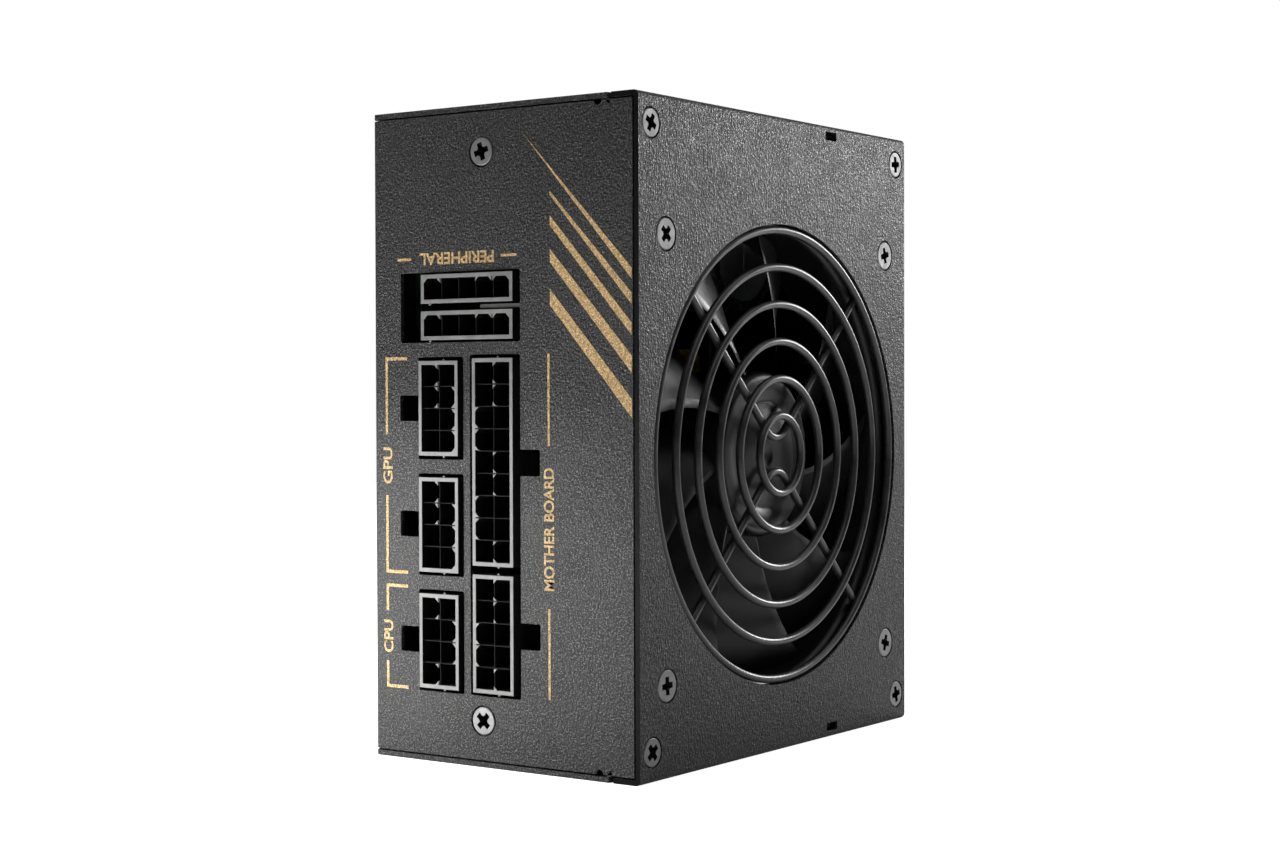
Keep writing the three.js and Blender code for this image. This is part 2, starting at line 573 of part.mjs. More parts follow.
// The parts on the main board. Sockets, mains and top sides are each measured inwards from
// the socket board, the inlet panel and the board's upper edge.
function addComponents() {
  const tall = fanBack - 2.5;
  const low = onBoard + 20;
  const inward = socketBack + gap + board;
  const top = caseHeight - boardInset;
  const fromSockets = (...y) => y.map((depth) => inward + depth);
  const fromMains = (...y) => y.map((depth) => yOut - depth);
  const can = (radius, height, y, z) => turned([[0, onBoard], [radius, onBoard], [radius, height - 1],
    [radius - 1, height], [0, height]], "x", [0, y, z], 20);
  const coil = (radius, thick, y, z) => hoop(radius, thick, [onBoard + thick, y, z], 20, 8);
  const parts = [
    ["secondary_heatsink", heatsink(fromSockets(2, 4.5), fromSockets(4, 8.5), [20, 90], tall),
      looks.aluminium],
    ["primary_heatsink", heatsink(fromMains(6, 3.5), fromMains(12.5, 5.5), [68, 114], fanBack - 1),
      looks.aluminium],
    ["main_transformer", transformer([-22, 2], [44, 76], low + 6), looks.yellowTape],
    ["standby_transformer", transformer([4, 20], [36, 52], low - 4), looks.yellowTape],
    ["pfc_inductor", transformer([6, 30], [56, 80], low), looks.ferrite],
    ["bulk_capacitor", can(12.5, tall, 18, top - 19), looks.sleeve],
    ["output_capacitor_1", can(5, low, -20, 16), looks.sleeve],
    ["output_capacitor_2", can(5, low, -20, 30), looks.sleeve],
    ["filter_choke", coil(8, 4, 16, 22), looks.copper],
    ["output_inductor", coil(7, 3.5, -14, top - 19), looks.copper],
    ["x_capacitor", block([onBoard, onBoard + 12], fromMains(19, 9), [20, 38]), looks.yellowTape],
    ["bridge_rectifier", block([onBoard, low], fromMains(28, 24.5), [34, 52]), looks.darkPlastic],
    ["fuse", rod(2.6, [46, 66], "z", [onBoard + 2.6, yOut - 14, 0], 12), looks.steel],
    ["control_board", block([onBoard, low], [-23, 1], [80, 80 + board]), looks.circuitBoard],
  ];
  parts.forEach(([name, body, material]) => addPiece(name, body, material));
}

function addScrews(name, screw, axis, side, places) {
  places.forEach((place, k) =>
    addPiece(`${name}_${k + 1}`, screwShape(screw, axis, side, place), looks.screwSteel));
}

addPiece("case_shell", caseShell(), looks.casePaint);
addPiece("inlet_panel", inletPanel(), looks.casePaint);
addPiece("upper_end_plate", endPlate(1), looks.casePaint);
addPiece("lower_end_plate", endPlate(-1), looks.casePaint);
addPiece("fan_cover", fanCover(), looks.casePaint);
addScrews("cover_screw", plateScrew, "x", 1, coverScrewPlaces);
addScrews("fan_screw", fanScrew, "x", 1, fanScrewPlaces);
addScrews("socket_panel_screw", plateScrew, "y", -1, panelScrewPlaces(-yOut));
addScrews("inlet_panel_screw", plateScrew, "y", 1, panelScrewPlaces(yOut));
addPiece("wire_guard", wireGuard(), looks.guardWire);
addPiece("fan_frame", fanFrame(), looks.darkPlastic);
addPiece("fan_rotor", fanRotor(), looks.darkPlastic);
addFanMotor();
for (const socket of sockets) addPiece(socket.name, socketHousing(socket), looks.darkPlastic);
addPiece("inlet_body", inletBody(), looks.darkPlastic);
for (const place of pinPlaces) {
  const tip = yOut - pin.recess;
  addPiece(place.name, pinBlock(place, 0, [tip - pin.length, tip]), looks.brass);
}
addPiece("switch_frame", switchFrame(), looks.darkPlastic);
addPiece("switch_rocker", switchRocker(), looks.darkPlastic);
addBoards();
addComponents();

// The origin is under the middle of the whole unit, with the inlet and the switch counted in.
const whole = new THREE.Box3().setFromObject(group);
group.position.y = -(whole.min.y + whole.max.y) / 2;

export default group;
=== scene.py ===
import json
import math

import bmesh
import bpy
from mathutils import Matrix, Vector


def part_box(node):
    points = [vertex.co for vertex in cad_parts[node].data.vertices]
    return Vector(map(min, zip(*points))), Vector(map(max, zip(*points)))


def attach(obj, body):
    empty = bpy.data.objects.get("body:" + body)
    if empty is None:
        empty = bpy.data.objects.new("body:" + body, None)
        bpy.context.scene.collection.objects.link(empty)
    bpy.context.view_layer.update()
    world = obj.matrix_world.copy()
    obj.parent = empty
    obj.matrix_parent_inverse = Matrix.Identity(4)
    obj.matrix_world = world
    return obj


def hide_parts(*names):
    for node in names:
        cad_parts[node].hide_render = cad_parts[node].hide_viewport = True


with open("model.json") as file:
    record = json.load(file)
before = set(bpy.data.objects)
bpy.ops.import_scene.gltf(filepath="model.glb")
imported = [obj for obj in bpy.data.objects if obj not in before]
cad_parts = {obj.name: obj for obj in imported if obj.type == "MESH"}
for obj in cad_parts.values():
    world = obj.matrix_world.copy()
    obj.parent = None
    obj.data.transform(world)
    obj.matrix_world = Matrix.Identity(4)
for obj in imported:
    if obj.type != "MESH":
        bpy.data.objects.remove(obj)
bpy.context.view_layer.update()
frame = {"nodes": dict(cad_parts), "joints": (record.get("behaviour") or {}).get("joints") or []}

# Everything below is drawn in millimetres, with y counted from the middle of the case and z
# from the floor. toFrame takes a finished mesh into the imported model's metres.
mm = 0.001
scene = bpy.context.scene
coverLow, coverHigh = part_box("fan_cover")
caseMid = (coverLow.y + coverHigh.y) / 2
toFrame = Matrix.Translation((0, caseMid, 0)) @ Matrix.Scale(mm, 4)
axisX, axisY, axisZ = Vector((1, 0, 0)), Vector((0, 1, 0)), Vector((0, 0, 1))


def boxOf(node):
    low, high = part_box(node)
    shift = Vector((0, caseMid, 0))
    return (low - shift) / mm, (high - shift) / mm


coverLow, coverHigh = boxOf("fan_cover")
shellLow, shellHigh = boxOf("case_shell")
xOut, yOut, top = coverHigh.x, coverHigh.y, coverHigh.z
sheet = 1.0  # thickness of the case sheets
gap = 0.3  # clearance between pieces that meet

lens = {"azimuth": 35.02, "elevation": 0.95, "roll": -0.17, "distance": 449.8,
        "right": -2.55, "up": 1.21, "focal": 61.39, "sensor": 36}


def addCamera():
    az, el, roll = (math.radians(lens[k]) for k in ("azimuth", "elevation", "roll"))
    back = Vector((math.sin(az) * math.cos(el), -math.cos(az) * math.cos(el), math.sin(el)))
    right = axisZ.cross(back).normalized()
    up = back.cross(right)
    place = axisZ * top / 2 + back * lens["distance"] + right * lens["right"] + up * lens["up"]
    side = right * math.cos(roll) + up * math.sin(roll)
    crown = up * math.cos(roll) - right * math.sin(roll)
    data = bpy.data.cameras.new("camera")
    data.lens, data.sensor_width, data.clip_start = lens["focal"], lens["sensor"], 0.01
    camera = bpy.data.objects.new("camera", data)
    turn = Matrix((side, crown, back)).transposed().to_4x4()
    camera.matrix_world = Matrix.Translation(toFrame @ place) @ turn
    scene.collection.objects.link(camera)
    scene.camera = camera


addCamera()
print("camera placed")

stage = {"floor": 1.25, "floorColour": (0.93, 0.93, 0.93), "floorRoughness": 0.9,
         "floorSpecular": 0.1, "floorGlow": 0.86, "roomLight": 0.02}
lights = {  # place, point it is aimed at, size and watts
    "backLeftTop": ((-0.28, 0.16, 0.60), (-0.16, -0.12, 0.0), (0.4, 0.4), 3.2),
    "nearLow": ((-0.21, -0.26, 0.035), (-0.01, -0.05, 0.03), (0.14, 0.06), 0.17),
    "floorPool": ((-0.10, -0.15, 0.07), (-0.10, -0.149, 0.0), (0.10, 0.10), 0.5),
    "rightFar": ((0.22, 0.62, 0.24), (0.03, 0.04, 0.09), (0.22, 0.20), 2.1),
    "overhead": ((0.0, 0.0, 1.3), (0, 0, 0), (2.0, 2.0), 9),
}


def feed(tree, socket, value):
    # Links another node's output, or sets a plain value.
    if isinstance(value, bpy.types.NodeSocket):
        tree.links.new(value, socket)
    else:
        socket.default_value = value


def mathNode(tree, operation, a, b, clamp=False):
    node = tree.nodes.new("ShaderNodeMath")
    node.operation = operation
    node.use_clamp = clamp
    feed(tree, node.inputs[0], a)
    feed(tree, node.inputs[1], b)
    return node.outputs["Value"]


def times(tree, a, b, clamp=False):
    return mathNode(tree, "MULTIPLY", a, b, clamp)


def addStage():
    bm = bmesh.new()
    bmesh.ops.create_circle(bm, cap_ends=True, segments=64, radius=stage["floor"])
    mesh = bpy.data.meshes.new("floor")
    bm.to_mesh(mesh)
    bm.free()
    floor = bpy.data.objects.new("floor", mesh)
    scene.collection.objects.link(floor)
    paper = bpy.data.materials.new("paperFloor")
    paper.use_nodes = True
    tree = paper.node_tree
    shader = tree.nodes["Principled BSDF"].inputs
    shader["Base Color"].default_value = (*stage["floorColour"], 1)
    shader["Roughness"].default_value = stage["floorRoughness"]
    shader["Specular IOR Level"].default_value = stage["floorSpecular"]
    shader["Emission Color"].default_value = (1, 1, 1, 1)
    cameraRay = tree.nodes.new("ShaderNodeLightPath").outputs["Is Camera Ray"]
    feed(tree, shader["Emission Strength"], times(tree, cameraRay, stage["floorGlow"]))
    mesh.materials.append(paper)


def addLights():
    for name, (place, target, size, watts) in lights.items():
        data = bpy.data.lights.new(name, "AREA")
        data.shape = "RECTANGLE"
        data.size, data.size_y = size
        data.energy = watts
        lamp = bpy.data.objects.new(name, data)
        aim = Vector(target) - Vector(place)
        lamp.location = place
        lamp.rotation_euler = aim.to_track_quat("-Z", "Y").to_euler()
        lamp.visible_camera = False
        scene.collection.objects.link(lamp)
    # The room looks white, but lights the object only a little.
    world = bpy.data.worlds.new("studio")
    scene.world = world
    world.use_nodes = True
    tree = world.node_tree
    background = tree.nodes["Background"].inputs
    background["Color"].default_value = (1, 1, 1, 1)
    strength = tree.nodes.new("ShaderNodeMix")
    strength.inputs["A"].default_value = stage["roomLight"]
    strength.inputs["B"].default_value = 1.0
    cameraRay = tree.nodes.new("ShaderNodeLightPath").outputs["Is Camera Ray"]
    feed(tree, strength.inputs["Factor"], cameraRay)
    feed(tree, background["Strength"], strength.outputs["Result"])
    scene.view_settings.view_transform = "Standard"


addStage()
addLights()
print("stage and lights placed")


def newGroup(name, inputs, outputs):
    # Inputs come with their first values, and every output is one number.
    tree = bpy.data.node_groups.new(name, "ShaderNodeTree")
    for label, value in inputs.items():
        kind = "NodeSocketVector" if isinstance(value, tuple) else "NodeSocketFloat"
        socket = tree.interface.new_socket(name=label, in_out="INPUT", socket_type=kind)
        socket.default_value = value
    for label in outputs:
        tree.interface.new_socket(name=label, in_out="OUTPUT", socket_type="NodeSocketFloat")
    given, result = tree.nodes.new("NodeGroupInput"), tree.nodes.new("NodeGroupOutput")
    return tree, given.outputs, result.inputs


def rampNode(tree, value, low, high):
    node = tree.nodes.new("ShaderNodeMapRange")
    node.interpolation_type = "SMOOTHSTEP"
    node.inputs["From Min"].default_value = low
    node.inputs["From Max"].default_value = high
    feed(tree, node.inputs["Value"], value)
    return node.outputs["Result"]


def mixColours(tree, factor, a, b):
    node = tree.nodes.new("ShaderNodeMix")
    node.data_type = "RGBA"
    for name, value in (("Factor", factor), ("A", a), ("B", b)):
        feed(tree, node.inputs[name], (*value, 1) if isinstance(value, tuple) else value)
    return node.outputs["Result"]


def noiseNode(tree, scale, detail=3.0, roughness=0.55, vector=None):
    node = tree.nodes.new("ShaderNodeTexNoise")
    if vector is None:
        vector = tree.nodes.new("ShaderNodeTexCoord").outputs["Object"]
    for name, value in (("Vector", vector), ("Scale", scale), ("Detail", detail),
                        ("Roughness", roughness)):
        feed(tree, node.inputs[name], value)
    return node.outputs["Fac"]


def buildEdgeWear():
    # Edges that have lost their finish, in patches.
    tree, given, result = newGroup("edgeWear", {"Width": 0.0003}, ["Mask"])
    rounded = tree.nodes.new("ShaderNodeBevel")
    rounded.samples = 4
    feed(tree, rounded.inputs["Radius"], given["Width"])
    dot = tree.nodes.new("ShaderNodeVectorMath")
    dot.operation = "DOT_PRODUCT"
    feed(tree, dot.inputs[0], rounded.outputs["Normal"])
    feed(tree, dot.inputs[1], tree.nodes.new("ShaderNodeNewGeometry").outputs["Normal"])
    turned = rampNode(tree, mathNode(tree, "SUBTRACT", 1.0, dot.outputs["Value"]), 0.01, 0.12)
    patches = rampNode(tree, noiseNode(tree, 900.0, 4.0), 0.35, 0.7)
    feed(tree, result["Mask"], times(tree, turned, patches))
    return tree


def buildWrinklePaint():
    # Baked wrinkle paint: fine threads that cross, with bright specks and a slow cloud.
    tree, given, result = newGroup("wrinklePaint", {"Size": 2100.0}, ["Height", "Speck", "Cloud"])
    place = tree.nodes.new("ShaderNodeTexCoord").outputs["Object"]
    threads = []
    for stretch in ((1.0, 1.0, 0.42), (0.5, 0.5, 1.0)):
        mapping = tree.nodes.new("ShaderNodeMapping")
        mapping.inputs["Scale"].default_value = stretch
        feed(tree, mapping.inputs["Vector"], place)
        noise = noiseNode(tree, given["Size"], 2.0, 0.5, mapping.outputs["Vector"])
        threads.append(rampNode(tree, noise, 0.36, 0.66))
    specks = noiseNode(tree, times(tree, given["Size"], 1.4), 1.0)
    clouds = noiseNode(tree, 160.0, 5.0, 0.65)
    feed(tree, result["Height"], mathNode(tree, "ADD", threads[0], times(tree, threads[1], 0.8)))
    feed(tree, result["Speck"], rampNode(tree, specks, 0.53, 0.63))
    feed(tree, result["Cloud"], rampNode(tree, clouds, 0.3, 0.7))
    return tree


def buildMouldedGrain():
    # Fine moulded or cast grain, a slow cloud for colour and roughness, and dust.
    tree, given, result = newGroup("mouldedGrain", {"Fine": 5000.0, "Broad": 220.0},
                                   ["Height", "Cloud", "Dust"])
    clouds = noiseNode(tree, given["Broad"], 5.0, 0.6)
    dust = noiseNode(tree, 3300.0, 5.0, 0.7)
    feed(tree, result["Height"], noiseNode(tree, given["Fine"], 2.0))
    feed(tree, result["Cloud"], rampNode(tree, clouds, 0.3, 0.7))
    feed(tree, result["Dust"], rampNode(tree, dust, 0.58, 0.75))
    return tree


def buildFineLines():
    # Parallel lines for brushed metal.
    tree, given, result = newGroup("fineLines", {"Stretch": (1.0, 1.0, 1.0), "Size": 3000.0},
                                   ["Height"])
    scaled = tree.nodes.new("ShaderNodeVectorMath")
    scaled.operation = "MULTIPLY"
    feed(tree, scaled.inputs[0], tree.nodes.new("ShaderNodeTexCoord").outputs["Object"])
    feed(tree, scaled.inputs[1], given["Stretch"])
    lines = noiseNode(tree, given["Size"], 2.0, 0.6, scaled.outputs["Vector"])
    feed(tree, result["Height"], lines)
    return tree


edgeWear, wrinklePaint = buildEdgeWear(), buildWrinklePaint()
mouldedGrain, fineLines = buildMouldedGrain(), buildFineLines()


def placed(tree, group, **values):
    # A group with its own values; gives its outputs.
    node = tree.nodes.new("ShaderNodeGroup")
    node.node_tree = group
    for label, value in values.items():
        node.inputs[label].default_value = value
    return node.outputs


def newMaterial(name, metallic=0.0, specular=0.5, coat=0.0, coatRoughness=0.1):
    material = bpy.data.materials.new(name)
    material.use_nodes = True
    tree = material.node_tree
    shader = tree.nodes["Principled BSDF"].inputs
    shader["Metallic"].default_value = metallic
    shader["Specular IOR Level"].default_value = specular
    shader["Coat Weight"].default_value = coat
    shader["Coat Roughness"].default_value = coatRoughness
    return material, tree, shader


# Each kind of finish: how wide and how strong the wear on its edges is, and what else it shows.
paint = {"wear": (0.00035, 0.55), "size": 2300.0, "threads": 0.55, "specks": 0.85, "matt": 0.8,
         "cloud": 0.2}
plastic = {"wear": (0.0002, 0.5), "dustColour": (0.3, 0.29, 0.27)}
metal = {"wear": (0.0002, 0.6), "lines": 3000.0, "fine": 4000.0, "broad": 350.0, "depth": 0.000006}


def surfaced(tree, shader, colour, edge, wear, haze, rough, height, depth):
    # Worn edges, a roughness between two values, and a bump.
    width, strength = wear
    worn = times(tree, placed(tree, edgeWear, Width=width)["Mask"], strength)
    feed(tree, shader["Base Color"], mixColours(tree, worn, colour, edge))
    spread = times(tree, haze, rough[1] - rough[0])
    feed(tree, shader["Roughness"], mathNode(tree, "ADD", spread, rough[0]))
    bump = tree.nodes.new("ShaderNodeBump")
    bump.inputs["Strength"].default_value = 1.0
    bump.inputs["Distance"].default_value = depth
    feed(tree, bump.inputs["Height"], height)
    feed(tree, shader["Normal"], bump.outputs["Normal"])


def paintFinish(name, dark, light, speck, edge, rough, depth):
    material, tree, shader = newMaterial(name)
    grain = placed(tree, wrinklePaint, Size=paint["size"])
    base = mixColours(tree, times(tree, grain["Height"], paint["threads"], True), dark, light)
    speckled = mixColours(tree, times(tree, grain["Speck"], paint["specks"]), base, speck)
    matt = times(tree, mathNode(tree, "SUBTRACT", 1.0, grain["Speck"]), paint["matt"])
    haze = mathNode(tree, "ADD", matt, times(tree, grain["Cloud"], paint["cloud"]))
    surfaced(tree, shader, speckled, edge, paint["wear"], haze, rough, grain["Height"], depth)
    return material


def plasticFinish(name, dark, light, rough, fine=5000.0, depth=0.00001, dust=0.1, **shine):
    material, tree, shader = newMaterial(name, **shine)
    grain = placed(tree, mouldedGrain, Fine=fine)
    base = mixColours(tree, grain["Cloud"], dark, light)
    dusty = mixColours(tree, times(tree, grain["Dust"], dust), base, plastic["dustColour"])
    surfaced(tree, shader, dusty, light, plastic["wear"], grain["Cloud"], rough, grain["Height"],
             depth)
    return material


def metalFinish(name, dark, light, rough, stretch=(1.0, 1.0, 1.0)):
    material, tree, shader = newMaterial(name, metallic=1.0)
    lines = placed(tree, fineLines, Stretch=stretch, Size=metal["lines"])["Height"]
    cloud = placed(tree, mouldedGrain, Fine=metal["fine"], Broad=metal["broad"])["Cloud"]
    mixed = mixColours(tree, lines, dark, light)
    surfaced(tree, shader, mixed, light, metal["wear"], cloud, rough, lines, metal["depth"])
    return material


casePaint = paintFinish("casePaint", (0.001, 0.001, 0.0011), (0.006, 0.006, 0.006),
                        (0.105, 0.105, 0.101), (0.06, 0.06, 0.058), (0.24, 0.60), 0.00005)
goldPrint = paintFinish("goldPrint", (0.27, 0.175, 0.068), (0.68, 0.46, 0.195),
                        (0.92, 0.66, 0.33), (0.6, 0.4, 0.18), (0.45, 0.7), 0.00003)
guardWire = plasticFinish("guardWire", (0.022, 0.022, 0.022), (0.045, 0.045, 0.044), (0.30, 0.44),
                          2600.0, 0.000008, 0.06, coat=0.35, coatRoughness=0.2)
fanPlastic = plasticFinish("fanPlastic", (0.007, 0.0072, 0.0078), (0.013, 0.013, 0.0145),
                           (0.30, 0.42), 6000.0, 0.000004, 0.05)
# Black housing plastic given a pale grey base: painted sheen standing in for the lights' reflection
# on the rims.
socketPlasticPaintedSheen = plasticFinish("socketPlasticPaintedSheen", (0.18, 0.18, 0.177), (0.25, 0.25, 0.245),
                              (0.30, 0.42), 5200.0, 0.000005, 0.12)
inletPlastic = plasticFinish("inletPlastic", (0.010, 0.010, 0.010), (0.018, 0.018, 0.018),
                             (0.34, 0.5), 4200.0)
rockerPlastic = plasticFinish("rockerPlastic", (0.012, 0.012, 0.012), (0.02, 0.02, 0.02),
                              (0.2, 0.34))
markPaint = plasticFinish("markPaint", (0.62, 0.62, 0.60), (0.78, 0.78, 0.76), (0.45, 0.6))
# Near-black: painted shade in the screw recesses and inside the socket cells, and the black of the
# socket board.
blackAndPaintedShade = plasticFinish("blackAndPaintedShade", (0.002, 0.002, 0.002), (0.004, 0.004, 0.004),
                           (0.55, 0.7), dust=0.02, specular=0.2)
# Near-black paint: painted shade on the fan cover's edges in the seam.
shadowPaint = plasticFinish("shadowPaint", (0.001, 0.001, 0.001), (0.002, 0.002, 0.002),
                            (0.45, 0.6), dust=0.0, specular=0.12)
ferrite = plasticFinish("ferrite", (0.022, 0.022, 0.023), (0.045, 0.045, 0.046), (0.55, 0.75),
                        2500.0, 0.00003)
circuitBoard = plasticFinish("circuitBoard", (0.004, 0.012, 0.007), (0.008, 0.026, 0.014),
                             (0.35, 0.55), 1400.0, 0.00003)
insulatingFilm = plasticFinish("insulatingFilm", (0.012, 0.012, 0.012), (0.022, 0.022, 0.021),
                               (0.25, 0.4))
windingTape = plasticFinish("windingTape", (0.52, 0.36, 0.05), (0.66, 0.48, 0.09), (0.3, 0.45),
                            1200.0, 0.00002)
capacitorSleeve = plasticFinish("capacitorSleeve", (0.010, 0.012, 0.02), (0.02, 0.024, 0.04),
                                (0.2, 0.35))
screwSteel = metalFinish("screwSteel", (0.20, 0.20, 0.20), (0.33, 0.33, 0.325), (0.42, 0.6))
steel = metalFinish("steel", (0.32, 0.33, 0.34), (0.52, 0.53, 0.54), (0.3, 0.45), (1, 1, 0.08))
brass = metalFinish("brass", (0.50, 0.34, 0.12), (0.70, 0.51, 0.22), (0.25, 0.4), (1, 0.1, 1))
# Tin darkened far below bare tin: painted shade on the contacts deep in the cells.
tinWithPaintedShade = metalFinish("tinWithPaintedShade", (0.10, 0.10, 0.10), (0.16, 0.16, 0.155), (0.4, 0.55), (1, 0.1, 1))
copper = metalFinish("copper", (0.36, 0.12, 0.05), (0.55, 0.21, 0.09), (0.25, 0.4))
aluminium = metalFinish("aluminium", (0.46, 0.47, 0.48), (0.62, 0.63, 0.64), (0.34, 0.5),
                        (1, 1, 0.06))
blackAluminium = metalFinish("blackAluminium", (0.012, 0.012, 0.013), (0.03, 0.03, 0.031),
                             (0.45, 0.6), (1, 1, 0.06))
print("finishes ready")


def addBox(bm, low, high):
    low, high = Vector(low), Vector(high)
    at = Matrix.Translation((low + high) / 2) @ Matrix.Diagonal((*(high - low), 1))
    return bmesh.ops.create_cube(bm, size=1, matrix=at)["verts"]


def bevelEdges(bm, edges, radius, segments):
    bmesh.ops.bevel(bm, geom=edges, offset=radius, offset_type="OFFSET", segments=segments,
                    profile=0.5, affect="EDGES", material=-1)


def roundAlong(bm, axis, radius, segments=4):
    # Rounds the edges that run along one axis.
    bevelEdges(bm, [e for e in bm.edges
                    if abs((e.verts[0].co - e.verts[1].co).normalized().dot(axis)) > 0.99],
               radius, segments)


def roundedBox(bm, low, high, axis, radius, segments=4):
    part = bmesh.new()
    addBox(part, low, high)
    roundAlong(part, axis, radius, segments)
    gather(bm, part)


def gather(bm, part, matrix=None):
    # Adds one bmesh to another, and frees it.
    if matrix is not None:
        bmesh.ops.transform(part, matrix=matrix, verts=part.verts)
    mesh = bpy.data.meshes.new("part")
    part.to_mesh(mesh)
    part.free()
    bm.from_mesh(mesh)
    bpy.data.meshes.remove(mesh)


def addTurned(bm, profile, axis, centre, steps=64, closed=False):
    # A profile of (radius, along) points spun about an axis through the centre.
    part = bmesh.new()
    across = axisZ if abs(axis.z) < 0.5 else axisX
    centre = Vector(centre)
    verts = [part.verts.new(centre + axis * along + across * radius) for radius, along in profile]
    edges = [part.edges.new(pair) for pair in zip(verts, verts[1:])]
    if closed:
        edges.append(part.edges.new((verts[-1], verts[0])))
    bmesh.ops.spin(part, geom=verts + edges, cent=centre, axis=axis, angle=2 * math.pi, steps=steps,
                   use_merge=True, use_duplicate=False)
    bmesh.ops.remove_doubles(part, verts=part.verts, dist=1e-4)
    bmesh.ops.recalc_face_normals(part, faces=part.faces)
    gather(bm, part)


def addRod(bm, radius, start, end, axis, centre, steps):
    addTurned(bm, [(0, start), (radius, start), (radius, end), (0, end)], axis, centre, steps)


def ringOf(radius, count):
    # Points round a circle, for the section of a ring.
    angles = [2 * math.pi * k / count for k in range(count)]
    return [(radius * math.cos(a), radius * math.sin(a)) for a in angles]


def drawOut(bm, drawn, direction):
    # Moves what an extrusion has just made.
    verts = [v for v in drawn["geom"] if isinstance(v, bmesh.types.BMVert)]
    bmesh.ops.translate(bm, verts=verts, vec=direction)


def addSlab(bm, outline, direction):
    # A flat outline drawn out along a vector.
    part = bmesh.new()
    face = part.faces.new([part.verts.new(p) for p in outline])
    drawOut(part, bmesh.ops.extrude_face_region(part, geom=[face]), direction)
    bmesh.ops.recalc_face_normals(part, faces=part.faces)
    gather(bm, part)


def evaluated(holder):
    # An object's shape with its curve or modifier worked out. The object is removed.
    graph = bpy.context.evaluated_depsgraph_get()
    mesh = bpy.data.meshes.new_from_object(holder.evaluated_get(graph))
    part = bmesh.new()
    part.from_mesh(mesh)
    bpy.data.meshes.remove(mesh)
    bpy.data.objects.remove(holder)
    return part


def curveSolid(curve, merge):
    # A curve or a word made into a solid.
    holder = bpy.data.objects.new("holder", curve)
    scene.collection.objects.link(holder)
    part = evaluated(holder)
    bpy.data.curves.remove(curve)
    bmesh.ops.remove_doubles(part, verts=part.verts, dist=merge)
    return part


def addWire(bm, points, radius, sides=3):
    # A round wire along a path.
    curve = bpy.data.curves.new("wire", "CURVE")
    curve.dimensions = "3D"
    curve.bevel_depth = radius
    curve.bevel_resolution = sides
    curve.use_fill_caps = True
    spline = curve.splines.new("POLY")
    spline.points.add(len(points) - 1)
    for point, place in zip(spline.points, points):
        point.co = (*place, 1)
    part = curveSolid(curve, 1e-4)
    bmesh.ops.recalc_face_normals(part, faces=part.faces)
    gather(bm, part)


def sinkFaces(bm, faces, depth):
    # Pushes part of a face in, with walls round it.
    drawOut(bm, bmesh.ops.extrude_face_region(bm, geom=faces), depth)
    bmesh.ops.delete(bm, geom=faces, context="FACES")


def combined(bm, other, operation="DIFFERENCE"):
    # The first solid with the second one taken away or added.
    solids = []
    for part in (bm, other):
        bmesh.ops.recalc_face_normals(part, faces=part.faces)
        mesh = bpy.data.meshes.new("solid")
        part.to_mesh(mesh)
        part.free()
        solids.append(bpy.data.objects.new("solid", mesh))
        scene.collection.objects.link(solids[-1])
    cut = solids[0].modifiers.new("cut", "BOOLEAN")
    cut.operation, cut.object, cut.solver, cut.use_self = operation, solids[1], "EXACT", True
    meshes = [solid.data for solid in solids]
    result = evaluated(solids[0])
    bpy.data.objects.remove(solids[1])
    for mesh in meshes:
        bpy.data.meshes.remove(mesh)
    bmesh.ops.remove_doubles(result, verts=result.verts, dist=1e-4)
    bmesh.ops.dissolve_limit(result, angle_limit=0.001, verts=result.verts, edges=result.edges)
    return result


def bentSheet(path, along, radius, flip=False):
    # A strip through the outer corners of a bent sheet, drawn out along one axis, rounded at its
    # bends, and given its thickness on the inside.
    bm = bmesh.new()
    verts = [bm.verts.new(p) for p in path]
    edges = [bm.edges.new(pair) for pair in zip(verts, verts[1:])]
    drawOut(bm, bmesh.ops.extrude_edge_only(bm, edges=edges), along)
    bevelEdges(bm, [e for e in bm.edges if len(e.link_faces) == 2], radius, 6)
    if flip:
        bmesh.ops.reverse_faces(bm, faces=bm.faces)
    bmesh.ops.solidify(bm, geom=bm.faces[:], thickness=sheet)
    bmesh.ops.recalc_face_normals(bm, faces=bm.faces)
    return bm


def makePiece(name, bm, material, body="case", nodes=(), bevel=0.0, segments=2,
              smooth=40.0, second=None):
    bmesh.ops.transform(bm, matrix=toFrame, verts=bm.verts)
    mesh = bpy.data.meshes.new(name)
    bm.to_mesh(mesh)
    bm.free()
    mesh.materials.append(material)
    if second:
        mesh.materials.append(second)
    for polygon in mesh.polygons:
        polygon.use_smooth = True
    mesh.set_sharp_from_angle(angle=math.radians(smooth))
    piece = bpy.data.objects.new(name, mesh)
    scene.collection.objects.link(piece)
    if bevel:
        rounding = piece.modifiers.new("rounding", "BEVEL")
        rounding.width = bevel * mm
        rounding.segments = segments
        rounding.limit_method = "ANGLE"
        rounding.angle_limit = math.radians(35)
        rounding.harden_normals = True
    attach(piece, body)
    if nodes:
        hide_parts(*nodes)

screw = {"arm": 1.2, "cross": 3.8, "depth": 2.0, "taper": (0.45, 0.6, 1), "rim": 0.25, "edge": 0.15,
         "pitch": 0.7, "thread": 0.22, "plain": 0.4, "point": (0.3, 0.1)}
screwSizes = {"plate": {"head": 2.65, "shank": 1.5, "length": 6.0},
              "fan": {"head": 2.95, "shank": 2.0, "length": 10.0}}
# How far each screw was turned when it was driven home, in degrees.
screwTurns = {
    "cover_screw_1": 38, "cover_screw_2": 62, "cover_screw_3": 12, "cover_screw_4": 5,
    "fan_screw_1": 4, "fan_screw_2": 48, "fan_screw_3": 75, "fan_screw_4": 14,
    "socket_panel_screw_1": 48, "socket_panel_screw_2": 17,
    "inlet_panel_screw_1": 30, "inlet_panel_screw_2": 71,
}


